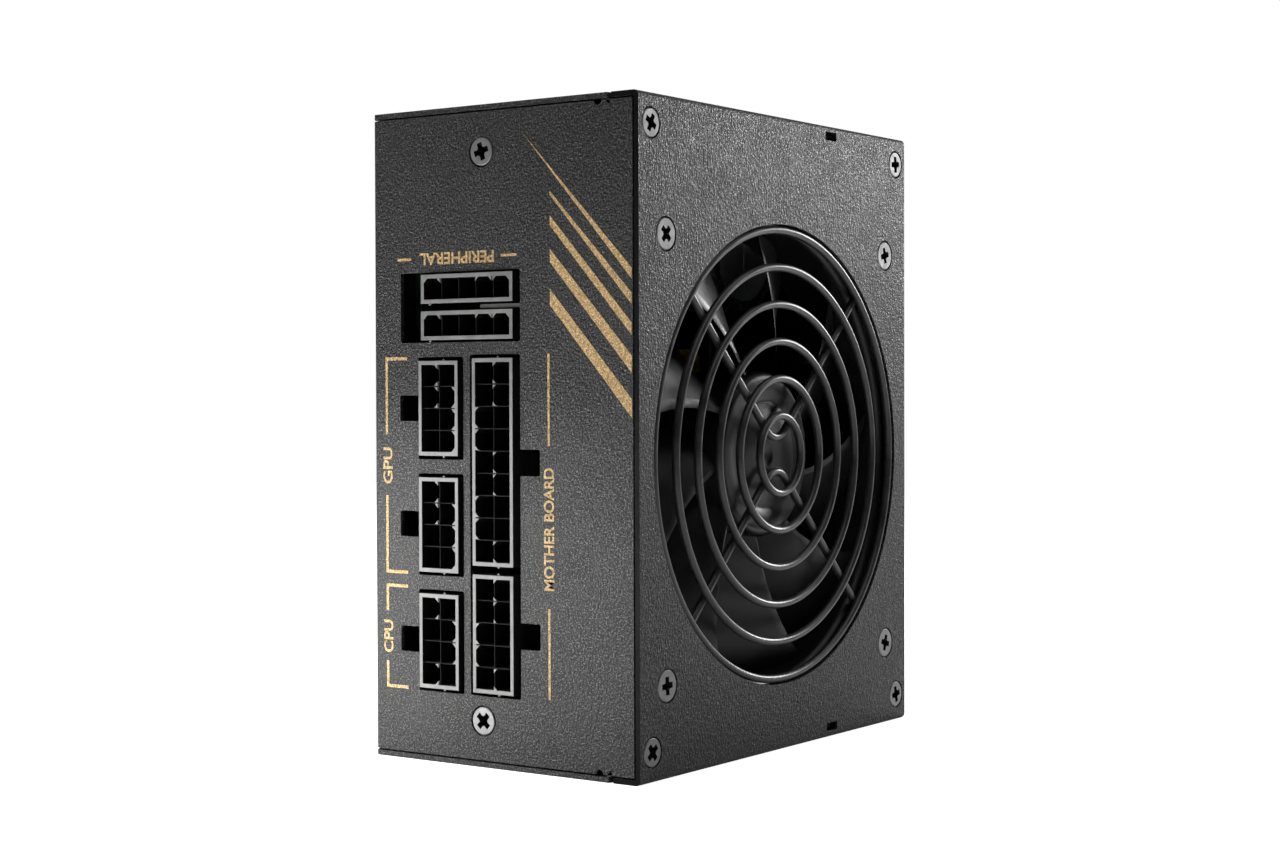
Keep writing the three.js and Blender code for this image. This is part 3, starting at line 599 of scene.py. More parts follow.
def middleOf(node):
    low, high = boxOf(node)
    return (low + high) / 2


def screwKind(node):
    return "fan" if node.startswith("fan") else "plate"


def coneDepth(size):
    return screw["rim"] + size["head"] - size["shank"]


def screwSolid(size):
    # A countersunk screw standing on Z with its head's face at zero.
    head, shank, length, cone = size["head"], size["shank"], size["length"], coneDepth(size)
    profile = [(0, 0), (head - screw["edge"], 0), (head, -screw["edge"]), (head, -screw["rim"]),
               (shank, -cone)]
    z = -cone - screw["plain"]
    while z > -length + screw["pitch"]:
        profile += [(shank, z), (shank - screw["thread"], z - screw["pitch"] / 2)]
        z -= screw["pitch"]
    narrow, rise = screw["point"]
    profile += [(shank - narrow, -length + rise), (0, -length)]
    bm, cross = bmesh.new(), bmesh.new()
    addTurned(bm, profile, axisZ, (0, 0, 0), 40)
    half, wide, depth = screw["cross"] / 2, screw["arm"] / 2, screw["depth"]
    for turn in (0, 90):
        arm = bmesh.new()
        verts = addBox(arm, (-half, -wide, -depth), (half, wide, 0.5))
        bmesh.ops.scale(arm, vec=screw["taper"], verts=[v for v in verts if v.co.z < -1])
        roundAlong(arm, axisZ, 0.01, 1)
        gather(cross, arm, Matrix.Rotation(math.radians(turn), 4, "Z"))
    centre = [(0, -depth - 0.2), (0.3, -depth), (0.95, -0.4), (1.0, 0.5), (0, 0.5)]
    addTurned(cross, centre, axisZ, (0, 0, 0), 20)
    bm = combined(bm, cross)
    # The cross recess gets the near-black second material: painted shade in the recess.
    for f in bm.faces:
        place = f.calc_center_median()
        f.material_index = 1 if place.z < -0.2 and place.to_2d().length < half * 1.05 else 0
    return bm


def addScrews():
    templates = {kind: screwSolid(size) for kind, size in screwSizes.items()}
    for node, turn in screwTurns.items():
        low, high = boxOf(node)
        place = (low + high) / 2
        if node.startswith(("cover", "fan")):
            place.x, facing = high.x, axisX
        elif node.startswith("inlet"):
            place.y, facing = high.y, axisY
        else:
            place.y, facing = low.y, -axisY
        stand = Matrix.Translation(place) @ facing.to_track_quat("Z", "X").to_matrix().to_4x4()
        bm = templates[screwKind(node)].copy()
        spin = Matrix.Rotation(math.radians(turn), 4, "Z")
        bmesh.ops.transform(bm, matrix=stand @ spin, verts=bm.verts)
        makePiece(node + "_detail", bm, screwSteel, nodes=[node], smooth=32,
                  second=blackAndPaintedShade)
    for bm in templates.values():
        bm.free()


addScrews()
print("screws made")

sheets = {"bend": 1.3, "coverBend": 1.04, "innerBend": 0.45, "edge": 0.09, "corner": 0.35,
          "relief": 0.85, "reliefFromFace": 9.05, "turned": 0.4}
plate = {"flange": 9.0, "notch": 1.3, "chamfer": 2.2, "arcSteps": 6, "tab": 8.0, "tabDepth": 12.0,
         "tabCorner": 1.5}
coverSlot = {"y": 18.6, "width": 4.3, "height": 1.7, "low": 1.3}
fan = {"opening": 45.4, "bore": 44.5, "hub": 16.5, "corner": 4.5, "screwHole": 2.3}
opening = {"cut": 0.65, "wide": 1.1, "slim": 0.4, "latchWidth": 4.9, "latchRoom": 4.6}
cell = {"pitch": 4.2, "side": 3.97, "run": 5.6, "web": 0.45, "depth": 11.0, "chamfer": 0.85}
latchColumn = ["cpu_socket", "gpu_socket_lower", "gpu_socket_upper"]
boardColumn = ["board_socket_short", "board_socket_long"]
slimPair = ["peripheral_socket_lower", "peripheral_socket_upper"]
frameLow, frameHigh = boxOf("fan_frame")
fanZ = (frameLow.z + frameHigh.z) / 2

# Each socket's cells, a word for each row from the top down and a letter for each column.
# The letter k marks a cell with two corners cut off, and the dot a square one.
cellKeys = {
    "gpu_socket_upper": ("k.", "kk", ".k", ".k"),
    "gpu_socket_lower": ("k.", "kk", ".k", ".k"),
    "cpu_socket": ("k.", ".k", ".k", "k."),
    "board_socket_long": (".k", ".k", "k.", "k.", ".k", ".k", "k.", "k.", ".k"),
    "board_socket_short": (".k", ".k", "k.", "k.", ".k"),
    "peripheral_socket_lower": ("k..kk",),
    "peripheral_socket_upper": ("k..kk",),
}


def housingOf(node):
    # A socket's housing without its latch ramp: (low x, high x, low z, high z).
    low, high = boxOf(node)
    width = (len(cellKeys[node][0]) - 1) * cell["pitch"] + cell["run"]
    if node in boardColumn:
        return low.x, low.x + width, low.z, high.z
    return high.x - width, high.x, low.z, high.z


def sinkHole(bm, node, facing):
    # The countersunk hole of one screw.
    low, high = boxOf(node)
    size = screwSizes[screwKind(node)]
    head, shank, cone = size["head"] + gap, size["shank"] + gap, coneDepth(size)
    face = (low + high) / 2
    for k in range(3):
        if facing[k]:
            face[k] = high[k] if facing[k] > 0 else low[k]
    addTurned(bm, [(0, -14), (shank, -14), (shank, -cone), (head, -screw["rim"]), (head, 0.6),
                   (0, 0.6)], facing, face, 32)


def panelWindow(bm, x0, x1, z0, z1):
    roundedBox(bm, (x0, -yOut - 2, z0), (x1, -yOut + 3, z1), axisY, sheets["corner"], 3)


def latchWindow(bm, x0, x1, z0, z1):
    mid, half = (z0 + z1) / 2, opening["latchWidth"] / 2
    panelWindow(bm, x0, x1, mid - half, mid + half)


def caseShellPiece():
    bm = bentSheet([(shellHigh.x, -yOut, shellLow.z), (-xOut, -yOut, shellLow.z),
                    (-xOut, shellHigh.y, shellLow.z)],
                   axisZ * (shellHigh.z - shellLow.z), sheets["bend"])
    holes = bmesh.new()
    cut, wide, slim, room = (opening[k] for k in ("cut", "wide", "slim", "latchRoom"))
    for node in latchColumn:
        x0, x1, z0, z1 = housingOf(node)
        panelWindow(holes, x0 - cut, x1 + cut, z0 - cut, z1 + cut)
        latchWindow(holes, x0 - cut - room, x0 - cut + 1, z0, z1)
    lower, upper = (housingOf(node) for node in boardColumn)
    edge = lower[1] + wide
    panelWindow(holes, lower[0] - wide, edge, lower[2] - cut, upper[3] + cut)
    for box in (lower, upper):
        latchWindow(holes, edge - 1, edge + room, box[2], box[3])
    lower, upper = (housingOf(node) for node in slimPair)
    panelWindow(holes, lower[0] - room - wide, lower[1] + wide, lower[2] - slim, upper[3] + slim)
    for k in (1, 2):
        sinkHole(holes, f"socket_panel_screw_{k}", -axisY)
    # Round reliefs beside the bends of the end plates.
    for z in (shellLow.z, shellHigh.z):
        addRod(holes, sheets["relief"], -1, 2, axisY,
               (coverHigh.x - sheets["reliefFromFace"], -yOut, z), 20)
    makePiece("case_shell_sheet", combined(bm, holes), casePaint, nodes=["case_shell"],
              bevel=sheets["edge"])


def fanCoverPiece():
    edge, half = coverLow.x, coverSlot["width"] / 2
    bm = bentSheet([(edge, -yOut, 0), (xOut, -yOut, 0), (xOut, -yOut, top), (edge, -yOut, top)],
                   axisY * 2 * yOut, sheets["coverBend"])
    holes = bmesh.new()
    addRod(holes, fan["opening"], -3, 3, axisX, (xOut, 0, fanZ), 160)
    for z in (coverSlot["low"], top - coverSlot["low"] - coverSlot["height"]):
        roundedBox(holes, (xOut - 3, coverSlot["y"] - half, z),
                   (xOut + 2, coverSlot["y"] + half, z + coverSlot["height"]), axisX, 0.3, 3)
    for k in range(1, 5):
        sinkHole(holes, f"cover_screw_{k}", axisX)
        sinkHole(holes, f"fan_screw_{k}", axisX)
    bm = combined(bm, holes)
    # The faces along the sheet's edges facing ±y get near-black shadowPaint: painted shade for the
    # dark seam.
    for f in bm.faces:
        paintedSeamShade = abs(f.normal.y) > 0.9 and abs(f.calc_center_median().y) > yOut - 0.1
        f.material_index = 1 if paintedSeamShade else 0
    makePiece("fan_cover_sheet", bm, casePaint, nodes=["fan_cover"], bevel=sheets["edge"],
              second=shadowPaint)


def endPlatePiece(node, side):
    high = boxOf(node)[1]
    level = (lambda depth: top - depth) if side > 0 else (lambda depth: depth)
    edge = coverLow.x - gap
    under = sheet + gap
    inside = yOut - under
    path = [(-xOut, -yOut, level(0)), (edge, -yOut, level(0)), (edge, -yOut, level(under)),
            (high.x, -yOut, level(under)), (high.x, -yOut, level(under + plate["flange"]))]
    bm = bentSheet(path, axisY * 2 * yOut, sheets["innerBend"], flip=side > 0)
    trims = bmesh.new()
    through = axisZ * (level(sheet + 0.2) - level(-1))
    for end in (-1, 1):
        y = sorted((end * inside, end * (yOut + 2)))
        z = sorted((level(-1), level(20)))
        addBox(trims, (edge - 0.02, y[0], z[0]), (high.x + 2, y[1], z[1]))
        # A chamfered corner beside the notch, and one that follows the bend of the sheet beside it.
        chamfer = [(edge + 0.5, end * (yOut + 1)), (edge + 0.5, end * (yOut - plate["chamfer"])),
                   (edge - plate["notch"], end * (yOut + 1))]
        turn = sheets["bend"] if end < 0 else sheets["turned"]
        arc = [math.pi / 2 * k / plate["arcSteps"] for k in range(plate["arcSteps"] + 1)]
        corner = [(-xOut - 1, end * (yOut + 1)), (-xOut + turn, end * (yOut + 1))]
        corner += [(-xOut + turn * (1 - math.sin(a)), end * (yOut - turn * (1 - math.cos(a))))
                   for a in arc]
        corner += [(-xOut - 1, end * (yOut - turn))]
        for outline in (chamfer, corner):
            addSlab(trims, [(x, y, level(-1)) for x, y in outline], through)
    bm = combined(bm, trims)
    tabs = bmesh.new()
    screwX = middleOf("socket_panel_screw_1").x
    for end in (-1, 1):
        y = sorted((end * inside, end * (inside - sheet)))
        z = sorted((level(sheet / 2), level(sheet + plate["tabDepth"])))
        roundedBox(tabs, (screwX - plate["tab"], y[0], z[0]), (screwX + plate["tab"], y[1], z[1]),
                   axisY, plate["tabCorner"], 4)
    bm = combined(bm, tabs, "UNION")
    holes = bmesh.new()
    k = 1 if side < 0 else 2
    for number in (k, k + 2):
        sinkHole(holes, f"cover_screw_{number}", axisX)
    sinkHole(holes, f"socket_panel_screw_{k}", -axisY)
    sinkHole(holes, f"inlet_panel_screw_{k}", axisY)
    makePiece(node + "_sheet", combined(bm, holes), casePaint, nodes=[node], bevel=sheets["edge"])


caseShellPiece()
fanCoverPiece()
endPlatePiece("upper_end_plate", 1)
endPlatePiece("lower_end_plate", -1)
print("sheet metal made")

guard = {"wire": 0.8, "ringInner": 7.7, "ringOuter": 44.3, "rings": 6, "bendRadius": 5.0,
         "bendLowest": 3.4, "bendSteps": 14, "eyelet": 3.1}


def wireGuardPiece():
    low, high = boxOf("wire_guard")
    radius, bend, eyelet = guard["wire"], guard["bendRadius"], guard["eyelet"]
    ringX, strutX = high.x - radius, low.x + radius
    bm = bmesh.new()
    section = ringOf(radius, 12)
    step = (guard["ringOuter"] - guard["ringInner"]) / (guard["rings"] - 1)
    for k in range(guard["rings"]):
        middle = guard["ringInner"] + k * step
        addTurned(bm, [(middle + a, b) for a, b in section], axisX, (ringX, 0, fanZ), 56 + 26 * k,
                  closed=True)
    corners = [middleOf(f"fan_screw_{k}") for k in range(1, 5)]
    reach = corners[3].y - eyelet * math.sqrt(0.5)
    centre = guard["bendLowest"] + bend
    arc = [math.radians(225 + 90 * k / guard["bendSteps"]) for k in range(guard["bendSteps"] + 1)]
    strut = [(bend * math.cos(a), centre + bend * math.sin(a)) for a in arc]
    for side in (-1, 1):
        addWire(bm, [(strutX, y, fanZ + side * z)
                     for y, z in [(-reach, reach)] + strut + [(reach, reach)]], radius)
    for middle in corners:
        addTurned(bm, [(eyelet + a, b) for a, b in section], axisX, (strutX, middle.y, middle.z),
                  32, closed=True)
    makePiece("wire_guard_wires", bm, guardWire, nodes=["wire_guard"], smooth=60)


motorBase = [(3.6, 0), (fan["hub"] - 0.3, 0), (fan["hub"] + 0.5, 0.5), (fan["hub"] + 0.5, 1.2),
             (4.6, 1.2), (4.3, 7.4), (3.6, 7.4)]


def fanFramePiece():
    low, high = frameLow, frameHigh
    depth, bore, centre = high.x - low.x, fan["bore"], (low.x, 0, fanZ)
    bm, front, duct, inner = (bmesh.new() for k in range(4))
    roundedBox(bm, low, (low.x + 3, high.y, high.z), axisX, fan["corner"], 6)
    roundedBox(front, (high.x - 3, low.y, low.z), high, axisX, fan["corner"], 6)
    bm = combined(bm, front, "UNION")
    addRod(duct, bore + 1.2, 0.2, depth - 0.2, axisX, centre, 120)
    bm = combined(bm, duct, "UNION")
    # The bore opens out at both ends.
    addTurned(inner, [(0, -1), (bore + 1.6, -1), (bore + 0.9, 0), (bore, 1.4), (bore, depth - 1.4),
                      (bore + 0.25, depth - 0.6), (bore + 1, depth), (bore + 1.6, depth + 1),
                      (0, depth + 1)], axisX, centre, 120)
    for k in range(1, 5):
        middle = middleOf(f"fan_screw_{k}")
        addRod(inner, fan["screwHole"], -2, depth + 2, axisX, (low.x, middle.y, middle.z), 24)
    bm = combined(bm, inner)
    # The motor's base stands on four arms, each set off to one side of the middle.
    for k in range(4):
        arm = bmesh.new()
        roundedBox(arm, (low.x + 0.1, 12, -1.9), (low.x + 2.1, bore + 0.6, 1.9), axisY, 0.5, 2)
        turn = Matrix.Rotation(math.radians(90 * k), 4, "X")
        gather(bm, arm, Matrix.Translation((0, 0, fanZ)) @ turn)
    addTurned(bm, motorBase, axisX, centre, 64, closed=True)
    makePiece("fan_frame_body", bm, fanPlastic, nodes=["fan_frame"], bevel=0.15)


rotor = {"blades": 9, "phase": 26.0, "sweep": 24.0, "wrap": 32.0, "rootWrap": 0.84, "camber": 0.25,
         "thick": 1.15, "root": 16.1, "tip": 43.6, "crown": 1.6, "wall": 1.3}


def fanRotorPiece():
    low, high = boxOf("fan_rotor")
    front, back, hub = high.x, low.x, fan["hub"]
    crown, wall = rotor["crown"], rotor["wall"]
    bm = bmesh.new()
    rounding = [(hub - crown * (1 - math.sin(a)), front - crown * (1 - math.cos(a)))
                for a in (math.radians(15 * k) for k in range(6, -1, -1))]
    profile = [(hub - wall, back), (hub, back)] + rounding
    profile += [(11.2, front), (10.9, front - 0.18), (10.4, front - 0.18), (10.1, front),
                (2.6, front), (2.1, front - 0.35), (0, front - 0.5), (0, front - 1.5),
                (hub - wall, front - 1.5)]
    addTurned(bm, profile, axisX, (0, 0, fanZ), 96, closed=True)
    for k in range(rotor["blades"]):
        blade = bmesh.new()
        bmesh.ops.create_grid(blade, x_segments=16, y_segments=14, size=0.5)
        for vert in blade.verts:
            along, out = vert.co.x + 0.5, vert.co.y + 0.5
            radius = rotor["root"] + out * (rotor["tip"] - rotor["root"])
            start = rotor["phase"] + k * 360 / rotor["blades"] + rotor["sweep"] * out ** 0.85
            wrap = rotor["wrap"] * (rotor["rootWrap"] + (1 - rotor["rootWrap"]) * out)
            angle = math.radians(start - wrap * along)
            fall = along - rotor["camber"] * along * (1 - along)
            x = front - crown - (front - back - 2 * crown) * fall
            vert.co = (x, radius * math.cos(angle), fanZ + radius * math.sin(angle))
        bmesh.ops.solidify(blade, geom=blade.faces[:], thickness=rotor["thick"])
        bmesh.ops.recalc_face_normals(blade, faces=blade.faces)
        gather(bm, blade)
    makePiece("fan_rotor_body", bm, fanPlastic, body="rotor", nodes=["fan_rotor"],
              bevel=0.3, smooth=50)


wireGuardPiece()
fanFramePiece()
fanRotorPiece()
print("fan and guard made")

flat = 0.002  # how far a corner may lie from a face and still count as on it
latch = {"start": 5.0, "peak": 7.4, "end": 8.0, "proud": 1.0, "half": 1.7}
rib = {"half": 0.45, "start": 0.25, "length": 8.0, "offset": 1.2, "slimOffset": 2.1}
contact = {"half": 0.55, "start": 5.2, "tip": 0.45, "past": 0.4}


def socketPiece(node):
    x0, x1, z0, z1 = housingOf(node)
    face, back = boxOf(node)[0].y, boxOf(node)[1].y
    rows, columns = len(cellKeys[node]), len(cellKeys[node][0])
    # The side of a cell that its cut corners are on.
    side = "right" if node in latchColumn else "left" if node in boardColumn else "top"
    half, cut = cell["side"] / 2, cell["chamfer"]
    midX, midZ = (x0 + x1) / 2, (z0 + z1) / 2
    cells = [(midX + (column - (columns - 1) / 2) * cell["pitch"],
              midZ + ((rows - 1) / 2 - row) * cell["pitch"], cellKeys[node][row][column] == "k")
             for row in range(rows) for column in range(columns)]
    bm = bmesh.new()
    addBox(bm, (x0, face, z0), (x1, back, z1))

    def facesAt(depth):
        return [f for f in bm.faces if all(abs(v.co.y - depth) < flat for v in f.verts)]

    def cornersOf(x, z):
        # The two cut corners, each with the directions into its cell.
        first = (x - half, z + half, 1, -1) if side == "top" else (
            (x + half, z - half, -1, 1) if side == "right" else (x - half, z - half, 1, 1))
        second = (x - half, z + half, 1, -1) if side == "left" else (x + half, z + half, -1, -1)
        return first, second

    # The face is cut into squares along every side of every cell and cut corner.
    lines = set()
    for x, z, keyed in cells:
        xs, zs = {x - half, x + half}, {z - half, z + half}
        for cx, cz, sx, sz in cornersOf(x, z):
            xs.add(cx + sx * cut)
            zs.add(cz + sz * cut)
        lines |= {(0, round(value, 4)) for value in xs} | {(2, round(value, 4)) for value in zs}
    for axis, value in sorted(lines):
        fronts = facesAt(face)
        geom = fronts + list({e for f in fronts for e in f.edges})
        geom += list({v for f in fronts for v in f.verts})
        normal = axisZ if axis else axisX
        bmesh.ops.bisect_plane(bm, geom=geom, dist=1e-5, plane_co=normal * value, plane_no=normal)
    fronts = facesAt(face)

    # Each cut corner's square is split across, and its outer half stays with the rim.
    for x, z, keyed in cells:
        for cx, cz, sx, sz in cornersOf(x, z) if keyed else ():
            middle = Vector((cx + sx * cut / 2, face, cz + sz * cut / 2))
            square = min(fronts, key=lambda f: (f.calc_center_median() - middle).length)
            ends = [v for v in square.verts
                    if abs((v.co - Vector((cx, face, cz))).length - cut) < 0.01]
            if len(ends) == 2:
                bmesh.utils.face_split(square, ends[0], ends[1])
                fronts = facesAt(face)

    def kindOf(f):
        centre = f.calc_center_median()
        for x, z, keyed in cells:
            if abs(centre.x - x) < half and abs(centre.z - z) < half:
                cutOff = keyed and any(abs(centre.x - cx) + abs(centre.z - cz) < cut * 0.99
                                       for cx, cz, sx, sz in cornersOf(x, z))
                return "rim" if cutOff else "hole"
        acrossX = cells[0][0] - half < centre.x < cells[-1][0] + half
        acrossZ = cells[-1][1] - half < centre.z < cells[0][1] + half
        return "web" if acrossX and acrossZ else "rim"

    sinkFaces(bm, [f for f in fronts if kindOf(f) != "rim"], axisY * cell["web"])
    floors = facesAt(face + cell["web"])
    sinkFaces(bm, [f for f in floors if kindOf(f) == "hole"], axisY * (cell["depth"] - cell["web"]))
    bmesh.ops.dissolve_limit(bm, angle_limit=0.001, verts=bm.verts, edges=bm.edges)
    # The latch ramp, and the small ribs that centre the housing in its window.
    if side == "top":
        ribs = [(x0 + rib["slimOffset"], z0, -1)]
    else:
        edge, out = (x0, -latch["proud"]) if side == "right" else (x1, latch["proud"])
        ramp = [(edge, latch["start"]), (edge + out, latch["peak"]), (edge + out, latch["end"]),
                (edge, latch["end"])]
        addSlab(bm, [(x, face + y, midZ - latch["half"]) for x, y in ramp],
                axisZ * 2 * latch["half"])
        ribs = [(midX + rib["offset"], z1, 1), (midX + rib["offset"], z0, -1)]
    for x, z, out in ribs:
        y, thick = face + rib["start"], rib["half"]
        addSlab(bm, [(x - thick, y, z), (x + thick, y, z), (x, y, z + out * thick)],
                axisY * rib["length"])
    # Faces behind the front web get the near-black material: painted shade inside the cells.
    for f in bm.faces:
        shown = f.calc_center_median().y < face + cell["web"] - 0.05
        f.material_index = 0 if shown else 1
    makePiece(node + "_housing", bm, socketPlasticPaintedSheen, nodes=[node], bevel=0.1,
              smooth=35, second=blackAndPaintedShade)
    # The contacts use the darkened tin: painted shade deep in the cells.
    pins = bmesh.new()
    thick, start = contact["half"], face + contact["start"]
    for x, z, keyed in cells:
        pin = bmesh.new()
        verts = addBox(pin, (x - thick, start, z - thick),
                       (x + thick, face + cell["depth"] + contact["past"], z + thick))
        tip = [v for v in verts if v.co.y < start + thick]
        bmesh.ops.scale(pin, vec=(contact["tip"], 1, contact["tip"]), verts=tip,
                        space=Matrix.Translation((-x, 0, -z)))
        gather(pins, pin)
    makePiece(node + "_contacts", pins, tinWithPaintedShade, bevel=0.06)


spacer = {"width": 9.2, "set": 1.0, "depth": 9.0, "room": 0.28}


def spacerPiece():
    # A pale plate edge that shows between the two slim sockets.
    lower, upper = (housingOf(node) for node in slimPair)
    bm = bmesh.new()
    roundedBox(bm, (lower[1] - spacer["width"], -yOut + spacer["set"], lower[3] + spacer["room"]),
               (lower[1] + opening["wide"] - 0.1, -yOut + spacer["depth"],
                upper[2] - spacer["room"]), axisY, 0.1, 2)
    makePiece("slim_socket_spacer", bm, tinWithPaintedShade, bevel=0.1)


for node in latchColumn + boardColumn + slimPair:
    socketPiece(node)
spacerPiece()
print("sockets made")

printed = {"proud": 0.045, "extrude": 0.05, "bolder": 0.022}
stripes = [
    [(5.7, 118.8), (30.2, 93.2), (30.2, 91.2)],
    [(11.8, 107.9), (30.2, 88.7), (30.2, 86.6), (11.8, 107.2)],
    [(11.8, 103.4), (30.2, 83.3), (30.2, 81.1), (11.8, 101.6)],
    [(11.8, 97.3), (30.2, 77.4), (30.2, 74.3), (11.8, 94.8)],
    [(11.8, 89.9), (30.2, 69.6), (30.2, 66.2), (11.8, 86.9)],
]
rules = [  # (low x, high x, low z, high z)
    (-25.3, -21.8, 96.25, 96.75), (0.3, 4.0, 96.25, 96.75),
    (11.15, 11.65, 60.9, 78.0), (11.15, 11.65, 14.0, 30.8),
    (-28.5, -27.9, 62.8, 77.7), (-28.5, -27.9, 35.8, 50.9),
    (-27.9, -23.0, 77.1, 77.7), (-27.9, -23.0, 35.8, 36.4),
    (-28.5, -27.9, 28.4, 33.7), (-28.5, -27.9, 13.5, 18.7),
    (-27.9, -23.0, 33.1, 33.7), (-27.9, -23.0, 13.5, 14.1),
]
words = [  # word, turn, (low x, high x, low z, high z)
    ("PERIPHERAL", 180, (-19.7, -1.4, 95.3, 97.6)),
    ("MOTHER BOARD", 90, (10.2, 12.6, 34.2, 56.9)),
    ("GPU", 90, (-29.2, -26.8, 53.2, 60.2)),
    ("CPU", 90, (-29.2, -26.8, 20.3, 26.6)),
]


def addWord(bm, word, turn, area, depth):
    curve = bpy.data.curves.new("word", "FONT")
    curve.body = word
    curve.extrude = printed["extrude"]
    curve.offset = printed["bolder"]
    part = curveSolid(curve, 1e-5)
    stand = Matrix.Rotation(math.pi / 2, 4, "X") @ Matrix.Rotation(math.radians(turn), 4, "Z")
    bmesh.ops.transform(part, matrix=stand, verts=part.verts)
    low = Vector([min(v.co[k] for v in part.verts) for k in range(3)])
    high = Vector([max(v.co[k] for v in part.verts) for k in range(3)])
    size = Vector((area[1] - area[0], depth, area[3] - area[2]))
    grow = Matrix.Diagonal((*[size[k] / (high - low)[k] for k in range(3)], 1))
    corner = Matrix.Translation((area[0], -yOut - depth, area[2]))
    bmesh.ops.transform(part, matrix=corner @ grow @ Matrix.Translation(-low), verts=part.verts)
    bmesh.ops.recalc_face_normals(part, faces=part.faces)
    gather(bm, part)


def printPieces():
    proud = printed["proud"]
    bm = bmesh.new()
    for outline in stripes:
        addSlab(bm, [(x, -yOut, z) for x, z in outline], axisY * -proud)
    makePiece("panel_stripes", bm, goldPrint)
    bm = bmesh.new()
    for x0, x1, z0, z1 in rules:
        addBox(bm, (x0, -yOut - proud, z0), (x1, -yOut, z1))
    for word, turn, area in words:
        addWord(bm, word, turn, area, proud)
    makePiece("panel_lettering", bm, goldPrint)


printPieces()
print("print made")

mains = {"rim": 1.5, "bezelCorner": 1.8, "cavityWall": 1.2, "cavityDepth": 15.0, "cavityCut": 5.0,
         "cavityCorner": 0.8, "ledge": (0.3, 0.35, 1.4), "pocketX": 1.0, "pocketDepth": 6.0,
         "mountRadius": 1.75, "mountX": 51.5, "mountZ": 113.0}
vent = {"flats": 6.2, "pitch": 7.6, "rows": 6, "columns": 5, "z": 89.5}
rocker = {"half": 7.4, "tall": 3.6, "waist": 2.2, "lower": 0.6, "foot": 3.0, "footHalf": 1.5,
          "ends": 2.4, "trunnion": (1.0, 1.2), "trunnionHole": (1.3, 1.6), "rest": 10.0,
          "mark": 0.05, "markX": 4.6, "markSink": -0.3}


def plateCut(node, grow=0.0):
    # The part of a bezelled body that passes through the plate.
    low, high = boxOf(node)
    inset = mains["rim"] - grow
    return low.x + inset, high.x - inset, low.z + inset, high.z - inset


def inletPanelPiece():
    low, high = boxOf("inlet_panel")
    bm, holes = bmesh.new(), bmesh.new()
    roundedBox(bm, low, high, axisY, 0.4, 3)
    for node in ("inlet_body", "switch_frame"):
        x0, x1, z0, z1 = plateCut(node, gap)
        roundedBox(holes, (x0, yOut - 3, z0), (x1, yOut + 2, z1), axisY, 0.4, 3)
    # Hexagons in staggered rows.
    step, radius = vent["pitch"] * math.sqrt(3) / 2, vent["flats"] / math.sqrt(3)
    lie = Matrix.Rotation(math.pi / 2, 4, "X") @ Matrix.Rotation(math.pi / 6, 4, "Z")
    for row in range(vent["rows"]):
        for column in range(vent["columns"]):
            x = (row - (vent["rows"] - 1) / 2) * step
            z = column - (vent["columns"] - 1) / 2 + (row % 2) / 2 - 0.25
            at = Matrix.Translation((x, yOut - sheet / 2, vent["z"] + z * vent["pitch"])) @ lie
            bmesh.ops.create_cone(holes, cap_ends=True, segments=6, radius1=radius, radius2=radius,
                                  depth=4, matrix=at)
    for x in (-mains["mountX"] / 2, mains["mountX"] / 2):
        for z in (top / 2 - mains["mountZ"] / 2, top / 2 + mains["mountZ"] / 2):
            addRod(holes, mains["mountRadius"], -3, 3, axisY, (x, yOut, z), 32)
    for k in (1, 2):
        sinkHole(holes, f"inlet_panel_screw_{k}", axisY)
    makePiece("inlet_panel_sheet", combined(bm, holes), casePaint, nodes=["inlet_panel"],
              bevel=sheets["edge"])


def bezelledBody(node):
    # A bezel with round corners, lying a little off the plate, and the body behind it.
    low, high = boxOf(node)
    x0, x1, z0, z1 = plateCut(node)
    bm, bezel = bmesh.new(), bmesh.new()
    roundedBox(bm, (x0, low.y, z0), (x1, yOut + 0.8, z1), axisY, 0.5, 3)
    roundedBox(bezel, (low.x, yOut + gap, low.z), high, axisY, mains["bezelCorner"], 6)
    return combined(bm, bezel, "UNION")


def inletPiece():
    x0, x1, z0, z1 = plateCut("inlet_body")
    wall, slant = mains["cavityWall"], mains["cavityCut"]
    a, b, c, d = x0 + wall, x1 - wall, z0 + wall, z1 - wall
    cavity, ledge = bmesh.new(), bmesh.new()
    outline = [(a, c), (b - slant, c), (b, c + slant), (b, d - slant), (b - slant, d), (a, d)]
    addSlab(cavity, [(x, yOut - mains["cavityDepth"], z) for x, z in outline], axisY * 30)
    roundAlong(cavity, axisY, mains["cavityCorner"])
    inset, sink, corner = mains["ledge"]
    y = boxOf("inlet_body")[1].y
    roundedBox(ledge, (x0 + inset, y - sink, z0 + inset), (x1 - inset, y + 1, z1 - inset), axisY,
               corner, 5)
    makePiece("inlet_body_moulding", combined(combined(bezelledBody("inlet_body"), cavity), ledge),
              inletPlastic, nodes=["inlet_body"], bevel=0.2)
    for node in ("inlet_pin_line", "inlet_pin_neutral", "inlet_pin_earth"):
        pin = bmesh.new()
        roundedBox(pin, *boxOf(node), axisY, 0.45, 3)
        makePiece(node + "_blade", pin, brass, nodes=[node], bevel=0.4, segments=3)


